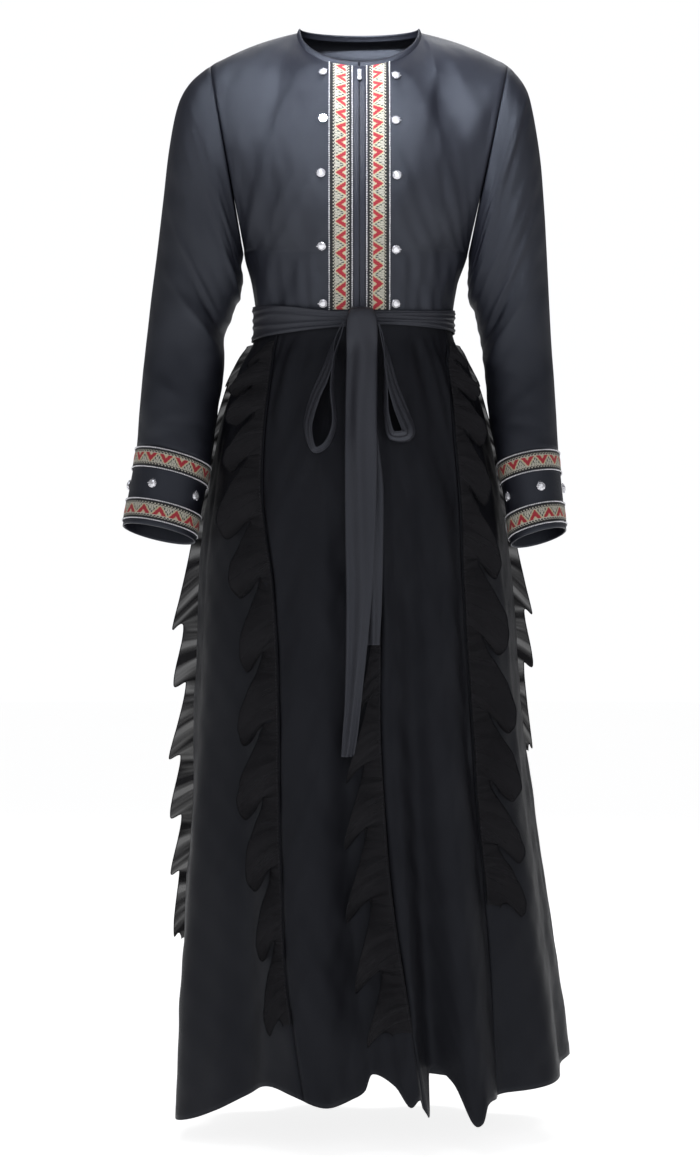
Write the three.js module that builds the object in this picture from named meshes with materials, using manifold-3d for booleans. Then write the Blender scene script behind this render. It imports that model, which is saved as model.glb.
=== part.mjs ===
// Abaya: collarless zipped bodice with ribbon trim, set-in sleeves with cuffs, tied sash and a
// flared skirt with chiffon ruffles let into its seams. It keeps the hollow form it is worn in.
//
// Millimetres, +Z up. The front faces -Y and the wearer's left is +X. The origin is the centre of
// the neck opening, level with the points where shoulder and neck meet. Tables give each height as
// `down`, the distance below the origin, and angles in degrees round the body from centre front,
// towards the wearer's left.

import * as THREE from 'three';
import { mergeVertices } from 'three/addons/utils/BufferGeometryUtils.js';
import Module from 'manifold-3d';

// ---------------------------------------------------------------- driving sizes
const CREPE = 2;
const CHIFFON = 1.4;
const RIBBON = 1;
const SEAM_GAP = 0.3;
const LAID_GAP = 0.6;

const NECK = { halfWidth: 80, frontDown: 55, frontOut: 76, backDown: 2, backOut: 46 };
const BINDING = { height: 6.5, start: 0.6, lean: 0.42, outer: 0.3, inner: -2.3 };
const ARMHOLE = { tipX: 194, tipDown: 43, underDown: 285, out: 58 };
const SHOULDER_BOW = 5;
const WAIST_DOWN = 376;
const HEM_DOWN = 1390;
const UNDERARM_SHARE = 0.76;
const NECK_FADE = 2.4;

const RIBBON_INNER_X = 8.3;
const RIBBON_WIDTH = 31;
const PLACKET_WIDTH = 15.6;
const TRIM_END = 0.975;
const GEM = { radius: 5.8, height: 3.6, sides: 8 };
const CUFF_GEM_COUNT = 5;
const CUFF_GEM_START = { right: 71, left: 79 };
const CUFF_BAND = 28;
const CUFF_EDGE = 6;

// The share of a front panel's top edge that the shoulder seam takes up; the neck takes the rest.
const SHOULDER_SHARE = 0.4;
const BACK_NECK_SHARE = 1 - SHOULDER_SHARE;
const BODICE_GRID = { columns: 10, rows: 14 };
const BODICE_BOTTOM = WAIST_DOWN - SEAM_GAP / 2;

// The stones sewn beside the trim: distance from the centre line and height.
const FRONT_GEMS = {
  right: [
    { x: 45.8, down: 64 },
    { x: 46, down: 127 },
    { x: 48.6, down: 197 },
    { x: 47.5, down: 288 },
    { x: 45.8, down: 360 },
  ],
  left: [
    { x: 45.8, down: 69 },
    { x: 46, down: 129 },
    { x: 47, down: 200 },
    { x: 46, down: 292 },
    { x: 45.8, down: 360 },
  ],
};

// Half widths and depths of the body of the garment, from the chest to the hem.
const TORSO = [
  { down: 0, right: 140, left: 136, front: 52, back: 44 },
  { down: 43, right: 146, left: 140, front: 70, back: 66 },
  { down: 90, right: 150, left: 142, front: 96, back: 82 },
  { down: 150, right: 150, left: 142, front: 113, back: 94 },
  { down: 220, right: 150, left: 142, front: 123, back: 99 },
  { down: 285, right: 150, left: 142, front: 117, back: 97 },
  { down: 330, right: 139, left: 127, front: 108, back: 93 },
  { down: 376, right: 134, left: 120, front: 101, back: 91 },
  { down: 402, right: 137, left: 124, front: 102, back: 94 },
  { down: 440, right: 156, left: 141, front: 111, back: 107 },
  { down: 516, right: 181, left: 166, front: 124, back: 128 },
  { down: 620, right: 198, left: 187, front: 136, back: 142 },
  { down: 737, right: 208, left: 201, front: 147, back: 153 },
  { down: 867, right: 212, left: 211, front: 158, back: 163 },
  { down: 997, right: 217, left: 227, front: 168, back: 173 },
  { down: 1127, right: 225, left: 247, front: 178, back: 184 },
  { down: 1257, right: 229, left: 266, front: 188, back: 195 },
  { down: 1390, right: 232, left: 281, front: 198, back: 206 },
];

// How far the hem lies below the origin, round the body.
const HEM = [
  { angle: -180, down: 1372 },
  { angle: -150, down: 1388 },
  { angle: -120, down: 1374 },
  { angle: -90, down: 1380 },
  { angle: -68, down: 1398 },
  { angle: -52, down: 1380 },
  { angle: -40, down: 1358 },
  { angle: -27.5, down: 1341 },
  { angle: -18, down: 1350 },
  { angle: -9, down: 1364 },
  { angle: 0, down: 1354 },
  { angle: 3, down: 1345 },
  { angle: 5.6, down: 1324 },
  { angle: 11, down: 1338 },
  { angle: 13.2, down: 1362 },
  { angle: 16.3, down: 1354 },
  { angle: 19, down: 1378 },
  { angle: 21.4, down: 1321 },
  { angle: 25.8, down: 1336 },
  { angle: 28.4, down: 1384 },
  { angle: 30.8, down: 1386 },
  { angle: 33, down: 1364 },
  { angle: 38, down: 1359 },
  { angle: 52, down: 1352 },
  { angle: 68, down: 1340 },
  { angle: 90, down: 1326 },
  { angle: 120, down: 1366 },
  { angle: 150, down: 1388 },
  { angle: 180, down: 1372 },
];

// Skirt folds: where each lies at the waist and at the hem, its half width in degrees, how far it
// stands out (+) or falls in (-) at the hem, and the share of the length where it begins.
const SKIRT_FOLDS = [
  { waist: -62, hem: -68, width: 9, out: 20, from: 0.25 },
  { waist: -44, hem: -40, width: 8, out: -16, from: 0.15 },
  { waist: -22, hem: -17, width: 10, out: 14, from: 0.1 },
  { waist: -6, hem: -2, width: 6, out: -16, from: 0.05 },
  { waist: 10, hem: 14, width: 3.6, out: 17, from: 0.35 },
  { waist: 17, hem: 21, width: 4.5, out: -18, from: 0.1 },
  { waist: 30, hem: 31, width: 6, out: 18, from: 0.1 },
  { waist: 44, hem: 43, width: 6, out: -16, from: 0.1 },
  { waist: 60, hem: 58, width: 8, out: 12, from: 0.3 },
  { waist: 78, hem: 76, width: 7, out: -10, from: 0.4 },
  { waist: 104, hem: 106, width: 8, out: -15, from: 0.2 },
  { waist: 122, hem: 124, width: 9, out: 16, from: 0.15 },
  { waist: 140, hem: 142, width: 7, out: -15, from: 0.1 },
  { waist: 157, hem: 158, width: 8, out: 15, from: 0.15 },
  { waist: 175, hem: 176, width: 8, out: -15, from: 0.1 },
  { waist: -166, hem: -165, width: 8, out: 15, from: 0.12 },
  { waist: -148, hem: -148, width: 7, out: -14, from: 0.1 },
  { waist: -130, hem: -131, width: 9, out: 16, from: 0.15 },
  { waist: -110, hem: -112, width: 8, out: -14, from: 0.2 },
];
const GATHERS = { count: 18, out: 2.4, start: 402, full: 425, end: 600 };

// Where the three front seams of the skirt run, as distances from the centre line.
const FRONT_SEAMS = [
  { down: 376, right: -100, centre: 6, left: 111 },
  { down: 402, right: -106, centre: 8, left: 113 },
  { down: 440, right: -113, centre: 12, left: 114 },
  { down: 520, right: -121, centre: 17, left: 120 },
  { down: 610, right: -123, centre: 21, left: 129 },
  { down: 711, right: -109, centre: 25, left: 133 },
  { down: 802, right: -102, centre: 26, left: 139 },
  { down: 900, right: -99, centre: 26, left: 147 },
  { down: 1000, right: -98, centre: 31, left: 154 },
  { down: 1100, right: -94, centre: 39, left: 165 },
  { down: 1200, right: -89, centre: 52, left: 173 },
  { down: 1290, right: -76, centre: 66, left: 178 },
  { down: 1390, right: -60, centre: 84, left: 182 },
];
const SIDE_SEAM_ANGLE = 99;

// The panels of the skirt, each between two of its seams, and the spacing of their rows.
const SKIRT_PANELS = [
  { name: 'skirt_side_right', from: 'side_right', to: 'right', columns: 20 },
  { name: 'skirt_front_right', from: 'right', to: 'centre', columns: 18 },
  { name: 'skirt_front_left', from: 'centre', to: 'left', columns: 18 },
  { name: 'skirt_side_left', from: 'left', to: 'side_left', columns: 16 },
  { name: 'skirt_back', from: 'side_left', to: 'side_right_behind', columns: 28 },
];
const SKIRT_ROWS = 10;
const SKIRT_ROW_EASE = 1.25;
const SKIRT_FIRST_ROW_DOWN = 403;
const SKIRT_TOP = WAIST_DOWN + SEAM_GAP / 2;

// Sleeve sections from the armhole to the cuff's edge: the outer and inner point of each, its
// middle front to back, its half depth, and how much higher its front lies than its middle.
const SLEEVES = {
  right: [
    { outer: 194, outerDown: 43, inner: 150, innerDown: 285, middle: 0, half: 58, lift: 0 },
    { outer: 220, outerDown: 66, inner: 152, innerDown: 301, middle: 0, half: 62, lift: 0 },
    { outer: 236, outerDown: 96, inner: 152, innerDown: 320, middle: 1, half: 63, lift: 0 },
    { outer: 247, outerDown: 150, inner: 155, innerDown: 345, middle: 3, half: 61, lift: 0 },
    { outer: 255, outerDown: 217, inner: 165, innerDown: 366, middle: 5, half: 58, lift: 0 },
    { outer: 263, outerDown: 285, inner: 172, innerDown: 388, middle: 6, half: 55, lift: 0 },
    { outer: 271, outerDown: 350, inner: 175, innerDown: 418, middle: 3, half: 52, lift: 2 },
    { outer: 278, outerDown: 425, inner: 180, innerDown: 468, middle: -8, half: 49, lift: 5 },
    { outer: 284, outerDown: 495, inner: 186, innerDown: 522, middle: -24, half: 46, lift: 8 },
    { outer: 287, outerDown: 542, inner: 192, innerDown: 566, middle: -36, half: 44, lift: 9 },
    { outer: 295, outerDown: 592, inner: 201, innerDown: 614, middle: -48, half: 44, lift: 9 },
    { outer: 303, outerDown: 642, inner: 210, innerDown: 662, middle: -60, half: 44, lift: 9 },
  ],
  left: [
    { outer: 194, outerDown: 43, inner: 142, innerDown: 285, middle: 0, half: 58, lift: 0 },
    { outer: 214, outerDown: 68, inner: 142, innerDown: 303, middle: 0, half: 62, lift: 0 },
    { outer: 224, outerDown: 96, inner: 141, innerDown: 322, middle: 1, half: 63, lift: 0 },
    { outer: 235, outerDown: 160, inner: 144, innerDown: 350, middle: 3, half: 60, lift: 0 },
    { outer: 240, outerDown: 217, inner: 151, innerDown: 370, middle: 5, half: 57, lift: 0 },
    { outer: 244, outerDown: 285, inner: 157, innerDown: 398, middle: 6, half: 54, lift: 0 },
    { outer: 247, outerDown: 350, inner: 161, innerDown: 428, middle: 3, half: 51, lift: 2 },
    { outer: 250, outerDown: 425, inner: 165, innerDown: 470, middle: -8, half: 48, lift: 5 },
    { outer: 254, outerDown: 500, inner: 171, innerDown: 522, middle: -28, half: 45, lift: 8 },
    { outer: 256, outerDown: 548, inner: 178, innerDown: 562, middle: -44, half: 43, lift: 9 },
    { outer: 260, outerDown: 598, inner: 186, innerDown: 613, middle: -58, half: 43, lift: 9 },
    { outer: 264, outerDown: 648, inner: 193, innerDown: 666, middle: -72, half: 43, lift: 9 },
  ],
};
const CUFF_TOP_ROW = 9;
// Soft creases of the sleeves: section, angle round the sleeve from its outer side towards the
// front, half length along the sleeve, half width in degrees, how far they stand out, and slant.
const SLEEVE_FOLDS = [
  { row: 2.2, angle: 120, length: 1.3, width: 26, out: 4, slant: 14 },
  { row: 3.4, angle: 60, length: 1.2, width: 22, out: -3, slant: -12 },
  { row: 5.2, angle: 150, length: 0.7, width: 34, out: -5, slant: 20 },
  { row: 5.9, angle: 120, length: 0.7, width: 34, out: 4, slant: 20 },
  { row: 6.6, angle: 80, length: 0.8, width: 30, out: -3, slant: -16 },
  { row: 7.6, angle: 40, length: 0.8, width: 26, out: 3, slant: 10 },
  { row: 5.6, angle: 250, length: 0.8, width: 30, out: 4, slant: -10 },
  { row: 6.8, angle: 290, length: 0.9, width: 28, out: -3, slant: 12 },
];

// The sash: its upper and lower edge round the waist.
const BELT_EDGES = [
  { angle: -180, top: 352, bottom: 398 },
  { angle: -90, top: 357, bottom: 402 },
  { angle: -50, top: 360, bottom: 397 },
  { angle: -14, top: 370, bottom: 391 },
  { angle: 0, top: 371, bottom: 390 },
  { angle: 14, top: 370, bottom: 387 },
  { angle: 40, top: 368, bottom: 388 },
  { angle: 90, top: 361, bottom: 391 },
  { angle: 180, top: 352, bottom: 398 },
];
const BELT = { gap: 1.6, crease: 1.4, creases: 2.5 };
const KNOT = { x: 2, down: 383, width: 41.2, depth: 22.6, height: 34, out: 117.3 };
// The two hanging ends of the sash: middle line, distance off the skirt and half width.
const FRONT_TAIL = [
  { down: 367, x: 3, off: 28, half: 14 },
  { down: 382, x: 3, off: 28, half: 19 },
  { down: 402, x: 3, off: 27, half: 20 },
  { down: 430, x: 3, off: 20, half: 20 },
  { down: 500, x: 2, off: 15, half: 20.5 },
  { down: 573, x: 2, off: 15, half: 20.5 },
  { down: 650, x: 1, off: 17, half: 19 },
  { down: 736, x: -1, off: 18, half: 16 },
  { down: 860, x: -8, off: 18, half: 10.5 },
  { down: 905, x: -12, off: 18, half: 9.5 },
  { down: 931, x: -15, off: 18, half: 8 },
];
const REAR_TAIL = [
  { down: 400.1, x: 4, off: 15, half: 9 },
  { down: 428, x: 6, off: 6, half: 13 },
  { down: 450, x: 7, off: 5, half: 14 },
  { down: 530, x: 8, off: 5, half: 16 },
  { down: 590, x: 12, off: 8, half: 18 },
  { down: 640, x: 12, off: 10, half: 18 },
  { down: 740, x: 14, off: 10, half: 14 },
  { down: 792, x: 15, off: 10, half: 10 },
];
// The bow's loops, as hanging rings of sash, seen from the front.
const BOW_LOOPS = {
  right: {
    depth: 22,
    off: 7,
    outline: [
      { x: -19.5, down: 384 },
      { x: -34, down: 410 },
      { x: -45, down: 440 },
      { x: -62, down: 478 },
      { x: -71, down: 515 },
      { x: -64, down: 545 },
      { x: -52, down: 552 },
      { x: -37, down: 540 },
      { x: -29, down: 512 },
      { x: -33, down: 470 },
      { x: -30, down: 430 },
      { x: -22, down: 400 },
    ],
  },
  left: {
    depth: 22,
    off: 7,
    outline: [
      { x: 23.2, down: 385 },
      { x: 36, down: 420 },
      { x: 47, down: 460 },
      { x: 62, down: 497 },
      { x: 71, down: 522 },
      { x: 64, down: 536 },
      { x: 47, down: 538 },
      { x: 34, down: 530 },
      { x: 31, down: 500 },
      { x: 31, down: 450 },
      { x: 27, down: 410 },
    ],
  },
};

// Ruffles on the front seams: how far the free edge reaches sideways from the seam (+ is towards
// the wearer's left) and how far the waves stand off the skirt.
const FRONT_RUFFLES = {
  ruffle_front_right: {
    seam: 'right',
    waves: 15,
    rows: [
      { down: 404, reach: -26, out: 6 },
      { down: 450, reach: -34, out: 16 },
      { down: 540, reach: -36, out: 20 },
      { down: 640, reach: -34, out: 20 },
      { down: 740, reach: -35, out: 22 },
      { down: 860, reach: -44, out: 22 },
      { down: 990, reach: -42, out: 22 },
      { down: 1100, reach: -36, out: 20 },
      { down: 1180, reach: -30, out: 18 },
      { down: 1262, reach: -22, out: 10 },
    ],
  },
  ruffle_centre: {
    seam: 'centre',
    waves: 11,
    rows: [
      { down: 640, reach: -14, out: 3 },
      { down: 760, reach: -20, out: 4 },
      { down: 860, reach: -26, out: 5 },
      { down: 950, reach: -38, out: 16 },
      { down: 1050, reach: -50, out: 20 },
      { down: 1130, reach: -48, out: 22 },
      { down: 1210, reach: -46, out: 18 },
      { down: 1270, reach: -46, out: 10 },
    ],
  },
  ruffle_front_left: {
    seam: 'left',
    waves: 12,
    rows: [
      { down: 404, reach: 18, out: 5 },
      { down: 450, reach: 24, out: 13 },
      { down: 540, reach: 30, out: 16 },
      { down: 640, reach: 34, out: 18 },
      { down: 740, reach: 33, out: 20 },
      { down: 850, reach: 36, out: 20 },
      { down: 960, reach: 42, out: 20 },
      { down: 1050, reach: 42, out: 16 },
      { down: 1120, reach: 36, out: 8 },
    ],
  },
};
// Ruffles on the side seams stand straight out: their reach and the swing of their waves.
const SIDE_RUFFLES = {
  ruffle_side_right: {
    side: -1,
    waves: 11,
    rows: [
      { down: 404, reach: 12, out: 6 },
      { down: 440, reach: 16, out: 9 },
      { down: 500, reach: 16, out: 10 },
      { down: 600, reach: 20, out: 12 },
      { down: 690, reach: 27, out: 15 },
      { down: 770, reach: 34, out: 16 },
      { down: 850, reach: 30, out: 15 },
      { down: 940, reach: 32, out: 15 },
      { down: 1030, reach: 22, out: 13 },
      { down: 1110, reach: 20, out: 9 },
      { down: 1178, reach: 14, out: 6 },
    ],
  },
  ruffle_side_left: {
    side: 1,
    waves: 8,
    rows: [
      { down: 404, reach: 10, out: 6 },
      { down: 440, reach: 15, out: 9 },
      { down: 500, reach: 12, out: 9 },
      { down: 600, reach: 14, out: 11 },
      { down: 690, reach: 22, out: 14 },
      { down: 760, reach: 26, out: 15 },
      { down: 840, reach: 16, out: 12 },
      { down: 932, reach: 12, out: 6 },
    ],
  },
};
const RUFFLE_GAP = 0.5;
const SIDE_RUFFLE_GAP = 1.5;
const SIDE_RUFFLE_PHASE = 0.06;

// Both lie along the placket just under the binding. Their own frame has X along the zip,
// downwards, and Y away from the cloth, and they are drawn from the side of the garment.
const SLIDER = { length: 9, width: 5, plate: 1.3, bridgeWidth: 1.4, bridgeReach: 2.7 };
const PULL = { pin: 0.55, thickness: 1, height: 1.3, hole: 3.7, length: 14, width: 5.6 };
const BRIDGE = { inside: 0.85, outside: 1.65, leg: 0.8 };
const SLIDER_DOWN = 66;

// ---------------------------------------------------------------- materials
function cloth(color, roughness) {
  return new THREE.MeshStandardMaterial({ color, roughness, metalness: 0, flatShading: true });
}
const crepe = cloth(0x1b1d29, 0.8);
const chiffon = cloth(0x23232b, 0.9);
const satin = cloth(0x12131c, 0.45);
const ribbon = cloth(0xb9a48c, 0.7);
const gemstone = new THREE.MeshStandardMaterial({ color: 0xe6e8ee, roughness: 0.1, metalness: 0.2 });
const metal = new THREE.MeshStandardMaterial({ color: 0xb8bac2, roughness: 0.25, metalness: 1 });

// ---------------------------------------------------------------- helpers
const degrees = THREE.MathUtils.degToRad;
const mix = THREE.MathUtils.lerp;
const clamp = THREE.MathUtils.clamp;

// Every column of a table at one value of its key, on a smooth curve through the rows.
function rowAt(table, key, at) {
  const last = table.length - 1;
  let index = 0;
  while (index < last - 1 && at > table[index + 1][key]) index += 1;
  const start = table[index];
  const end = table[index + 1];
  const before = table[Math.max(index - 1, 0)];
  const after = table[Math.min(index + 2, last)];
  const span = end[key] - start[key];
  const t = clamp((at - start[key]) / span, 0, 1);
  const row = {};
  for (const name of Object.keys(start)) {
    const startSlope = ((end[name] - before[name]) / (end[key] - before[key])) * span;
    const endSlope = ((after[name] - start[name]) / (after[key] - start[key])) * span;
    row[name] = hermite(start[name], end[name], startSlope, endSlope, t);
  }
  row[key] = at;
  return row;
}

function hermite(start, end, startSlope, endSlope, t) {
  const t2 = t * t;
  const t3 = t2 * t;
  const startPart = start * (2 * t3 - 3 * t2 + 1) + startSlope * (t3 - 2 * t2 + t);
  return startPart + end * (3 * t2 - 2 * t3) + endSlope * (t3 - t2);
}

// A table whose rows are evenly spaced gets their number as its key.
function numbered(rows) {
  return rows.map((row, number) => ({ ...row, number }));
}

function bell(distance, width) {
  return Math.exp(-((distance / width) ** 2));
}

function smooth(from, to, at) {
  return THREE.MathUtils.smoothstep(at, from, to);
}

// The value in a range at which a rising function reaches its target.
function solve(rising, target, low, high) {
  for (let step = 0; step < 40; step += 1) {
    const middle = (low + high) / 2;
    if (rising(middle) < target) low = middle;
    else high = middle;
  }
  return (low + high) / 2;
}

// The direction square to a surface, from its own slopes.
function surfaceNormal(surface, u, v, closed) {
  const step = 1e-3;
  const low = closed ? u - step : clamp(u - step, 0, 1);
  const high = closed ? u + step : clamp(u + step, 0, 1);
  const across = surface(high, v).sub(surface(low, v));
  const along = surface(u, clamp(v + step, 0, 1)).sub(surface(u, clamp(v - step, 0, 1)));
  return across.cross(along).normalize();
}

// A closed wall of cloth on a surface(u, v). `outer` and `inner` are the distances of its two
// faces from that surface, and `closed` says that u runs all the way round.
function clothWall(surface, options) {
  const { columns, rows, inner, outer, closed = false, flip = false, normal } = options;
  const count = closed ? columns : columns + 1;
  const positions = [];
  for (const distance of [outer, inner]) {
    for (let row = 0; row <= rows; row += 1) {
      for (let column = 0; column < count; column += 1) {
        const u = column / columns;
        const v = row / rows;
        const facing = surfaceNormal(surface, u, v, closed).multiplyScalar(flip ? -1 : 1);
        const direction = normal ? normal(facing, u, v) : facing;
        positions.push(...surface(u, v).addScaledVector(direction, distance).toArray());
      }
    }
  }
  const layer = count * (rows + 1);
  const vertex = (row, column) => row * count + (column % count);
  const triangles = [];
  const quad = (a, b, c, d) => triangles.push(a, b, c, a, c, d);
  for (let row = 0; row < rows; row += 1) {
    for (let column = 0; column < columns; column += 1) {
      const corners = [
        vertex(row, column),
        vertex(row, column + 1),
        vertex(row + 1, column + 1),
        vertex(row + 1, column),
      ];
      const [a, b, c, d] = corners;
      quad(a, b, c, d);
      quad(layer + a, layer + d, layer + c, layer + b);
    }
  }
  for (let column = 0; column < columns; column += 1) {
    const next = column + 1;
    quad(vertex(0, next), vertex(0, column), layer + vertex(0, column), layer + vertex(0, next));
    const first = vertex(rows, column);
    const second = vertex(rows, next);
    quad(first, second, layer + second, layer + first);
  }
  if (!closed) {
    for (let row = 0; row < rows; row += 1) {
      const left = vertex(row, 0);
      const leftNext = vertex(row + 1, 0);
      quad(leftNext, layer + leftNext, layer + left, left);
      const right = vertex(row, columns);
      const rightNext = vertex(row + 1, columns);
      quad(rightNext, right, layer + right, layer + rightNext);
    }
  }
  if (flip) triangles.reverse();
  const geometry = new THREE.BufferGeometry();
  geometry.setAttribute('position', new THREE.Float32BufferAttribute(positions, 3));
  geometry.setIndex(triangles);
  return geometry;
}

const abaya = new THREE.Group();

function addPiece(name, geometry, material) {
  const piece = new THREE.Mesh(geometry, material);
  piece.name = name;
  abaya.add(piece);
  return piece;
}

const SIDES = [
  { name: 'right', sign: -1 },
  { name: 'left', sign: 1 },
];

// ---------------------------------------------------------------- bodice
// The armhole, from the shoulder tip (turn 0) to the underarm (turn 1), on the front or the back.
// The bodice ends just inside its plane and the sleeve begins just outside it.
function armholePoint(side, turn, out, towardsSleeve) {
  const under = rowAt(TORSO, 'down', ARMHOLE.underDown)[side.name];
  const tip = new THREE.Vector3(side.sign * ARMHOLE.tipX, 0, -ARMHOLE.tipDown);
  const low = new THREE.Vector3(side.sign * under, 0, -ARMHOLE.underDown);
  const middle = tip.clone().add(low).multiplyScalar(0.5);
  const half = tip.clone().sub(middle);
  const swing = Math.PI * turn;
  const point = middle.clone().addScaledVector(half, Math.cos(swing));
  point.y = out * Math.sin(swing);
  const outwards = new THREE.Vector3(half.z, 0, -half.x).normalize().multiplyScalar(side.sign);
  return point.addScaledVector(outwards, (towardsSleeve * SEAM_GAP) / 2);
}

// The way that the cloth of bodice and sleeve both face where they meet.
function armholeFacing(side, turn, out) {
  const middle = armholePoint(side, 0, out, 0).add(armholePoint(side, 1, out, 0));
  return armholePoint(side, turn, out, 0).sub(middle.multiplyScalar(0.5)).normalize();
}

// The neckline, from centre front (-180) past the right shoulder (-90) and centre back (0).
function neckRing(turn) {
  const back = Math.abs(turn) < 90;
  const round = degrees(turn);
  const out = back ? NECK.backOut : NECK.frontOut;
  const down = back ? NECK.backDown : NECK.frontDown;
  const x = NECK.halfWidth * Math.sin(round);
  return new THREE.Vector3(x, out * Math.cos(round), -down * Math.abs(Math.cos(round)));
}

// The way the binding rises from the neckline, leaning in, and the way that it faces.
function neckRise(turn) {
  const round = degrees(turn);
  const lean = new THREE.Vector3(-Math.sin(round), -Math.cos(round), 0);
  return new THREE.Vector3(0, 0, 1).addScaledVector(lean, BINDING.lean).normalize();
}

function neckFacing(turn) {
  const along = neckRing(turn + 0.05).sub(neckRing(turn - 0.05));
  if (Math.abs(turn) > 179) along.set(-1, 0, 0);
  return neckRise(turn).cross(along).normalize();
}

function shoulderPoint(side, share) {
  const x = mix(ARMHOLE.tipX, NECK.halfWidth, share);
  const bow = SHOULDER_BOW * Math.sin(Math.PI * share);
  return new THREE.Vector3(side.sign * x, 0, -mix(ARMHOLE.tipDown, 0, share) + bow);
}

function shoulderFacing(side) {
  const slope = ARMHOLE.tipDown / (ARMHOLE.tipX - NECK.halfWidth);
  return new THREE.Vector3(side.sign * slope, 0, 1).normalize();
}

// A point of the body of the garment, without folds, at a height and an angle round it.
function torsoPoint(angle, down) {
  const row = rowAt(TORSO, 'down', down);
  const turn = degrees(angle);
  const halfWidth = Math.sin(turn) < 0 ? row.right : row.left;
  const depth = Math.cos(turn) > 0 ? row.front : row.back;
  return new THREE.Vector3(halfWidth * Math.sin(turn), -depth * Math.cos(turn), -down);
}

// Armhole edge and then side seam of one panel, from shoulder tip to waist.
function sideEdge(side, v, out) {
  if (v < UNDERARM_SHARE) return armholePoint(side, v / UNDERARM_SHARE, out, -1);
  const share = (v - UNDERARM_SHARE) / (1 - UNDERARM_SHARE);
  const start = armholePoint(side, 1, out, -1);
  const down = mix(-start.z, BODICE_BOTTOM, share);
  const point = torsoPoint(90 * side.sign, down);
  point.x = mix(start.x - torsoPoint(90 * side.sign, -start.z).x, 0, share) + point.x;
  point.y = 0;
  return point;
}

// A panel filled in between its four edges: the top edge's shape fades out quickly downwards.
function panelBetween(edges) {
  const cornerTop = (u) => edges.start(0).multiplyScalar(1 - u).addScaledVector(edges.end(0), u);
  const cornerBottom = (u) => edges.start(1).multiplyScalar(1 - u).addScaledVector(edges.end(1), u);
  return (u, v) => {
    const keep = (1 - v) ** NECK_FADE;
    const point = edges.start(v).multiplyScalar(1 - u).addScaledVector(edges.end(v), u);
    point.addScaledVector(edges.top(u).sub(cornerTop(u)), keep);
    return point.addScaledVector(edges.bottom(u).sub(cornerBottom(u)), 1 - keep);
  };
}

// Where a share of a front panel's top edge lies on the neck ring.
function frontNeckTurn(side, u) {
  return side.sign * (90 + (90 * (u - SHOULDER_SHARE)) / (1 - SHOULDER_SHARE));
}

function frontSurface(side) {
  const nudge = new THREE.Vector3(0, -SEAM_GAP / 2, 0);
  const top = (u) => {
    if (u < SHOULDER_SHARE) return shoulderPoint(side, u / SHOULDER_SHARE).add(nudge);
    const point = neckRing(frontNeckTurn(side, u));
    point.x = side.sign * Math.max(Math.abs(point.x), SEAM_GAP / 2);
    return point;
  };
  const bottom = (u) => {
    const point = torsoPoint(90 * side.sign * (1 - u), BODICE_BOTTOM).add(nudge);
    point.x = side.sign * Math.max(Math.abs(point.x), SEAM_GAP / 2);
    return point;
  };
  const end = (v) => {
    const down = mix(NECK.frontDown, BODICE_BOTTOM, v);
    const point = torsoPoint(0, down).add(nudge);
    point.x = (side.sign * SEAM_GAP) / 2;
    return point;
  };
  const start = (v) => sideEdge(side, v, -ARMHOLE.out).add(nudge);
  return panelBetween({ top, bottom, start, end });
}

// Neighbouring panels face the same way along the edge that they share.
function panelFacing(side, out, natural, edgeShare, v) {
  if (edgeShare > 1e-6) return natural;
  if (v < UNDERARM_SHARE) return armholeFacing(side, v / UNDERARM_SHARE, out);
  return new THREE.Vector3(natural.x, 0, natural.z).normalize();
}

// The same surface as its flat facets lie, for what is laid on it.
function facetsOf(surface, columns, rows) {
  const grid = [];
  for (let row = 0; row <= rows; row += 1) {
    grid.push(Array.from({ length: columns + 1 }, (_, at) => surface(at / columns, row / rows)));
  }
  return (u, v) => {
    const column = clamp(Math.floor(u * columns), 0, columns - 1);
    const row = clamp(Math.floor(v * rows), 0, rows - 1);
    const across = u * columns - column;
    const along = v * rows - row;
    const near = grid[row][column];
    const far = grid[row + 1][column + 1];
    const corner = across > along ? grid[row][column + 1] : grid[row + 1][column];
    const point = near.clone().addScaledVector(corner.clone().sub(near), Math.max(across, along));
    return point.addScaledVector(far.clone().sub(corner), Math.min(across, along));
  };
}

const fronts = {};
for (const side of SIDES) {
  const surface = frontSurface(side);
  fronts[side.name] = facetsOf(surface, BODICE_GRID.columns, BODICE_GRID.rows);
  const normal = (natural, u, v) => {
    if (v < 1e-6 && u <= SHOULDER_SHARE) return shoulderFacing(side);
    if (v < 1e-6) return neckFacing(frontNeckTurn(side, u));
    if (u > 1 - 1e-6) return new THREE.Vector3(0, natural.y, natural.z).normalize();
    return panelFacing(side, -ARMHOLE.out, natural, u, v);
  };
  const flip = side.sign < 0;
  const shape = { ...BODICE_GRID, inner: -CREPE, outer: 0, flip, normal };
  addPiece(`bodice_front_${side.name}`, clothWall(surface, shape), crepe);
}

function backNeckTurn(u) {
  return (180 * (u - 0.5)) / BACK_NECK_SHARE;
}

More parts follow.
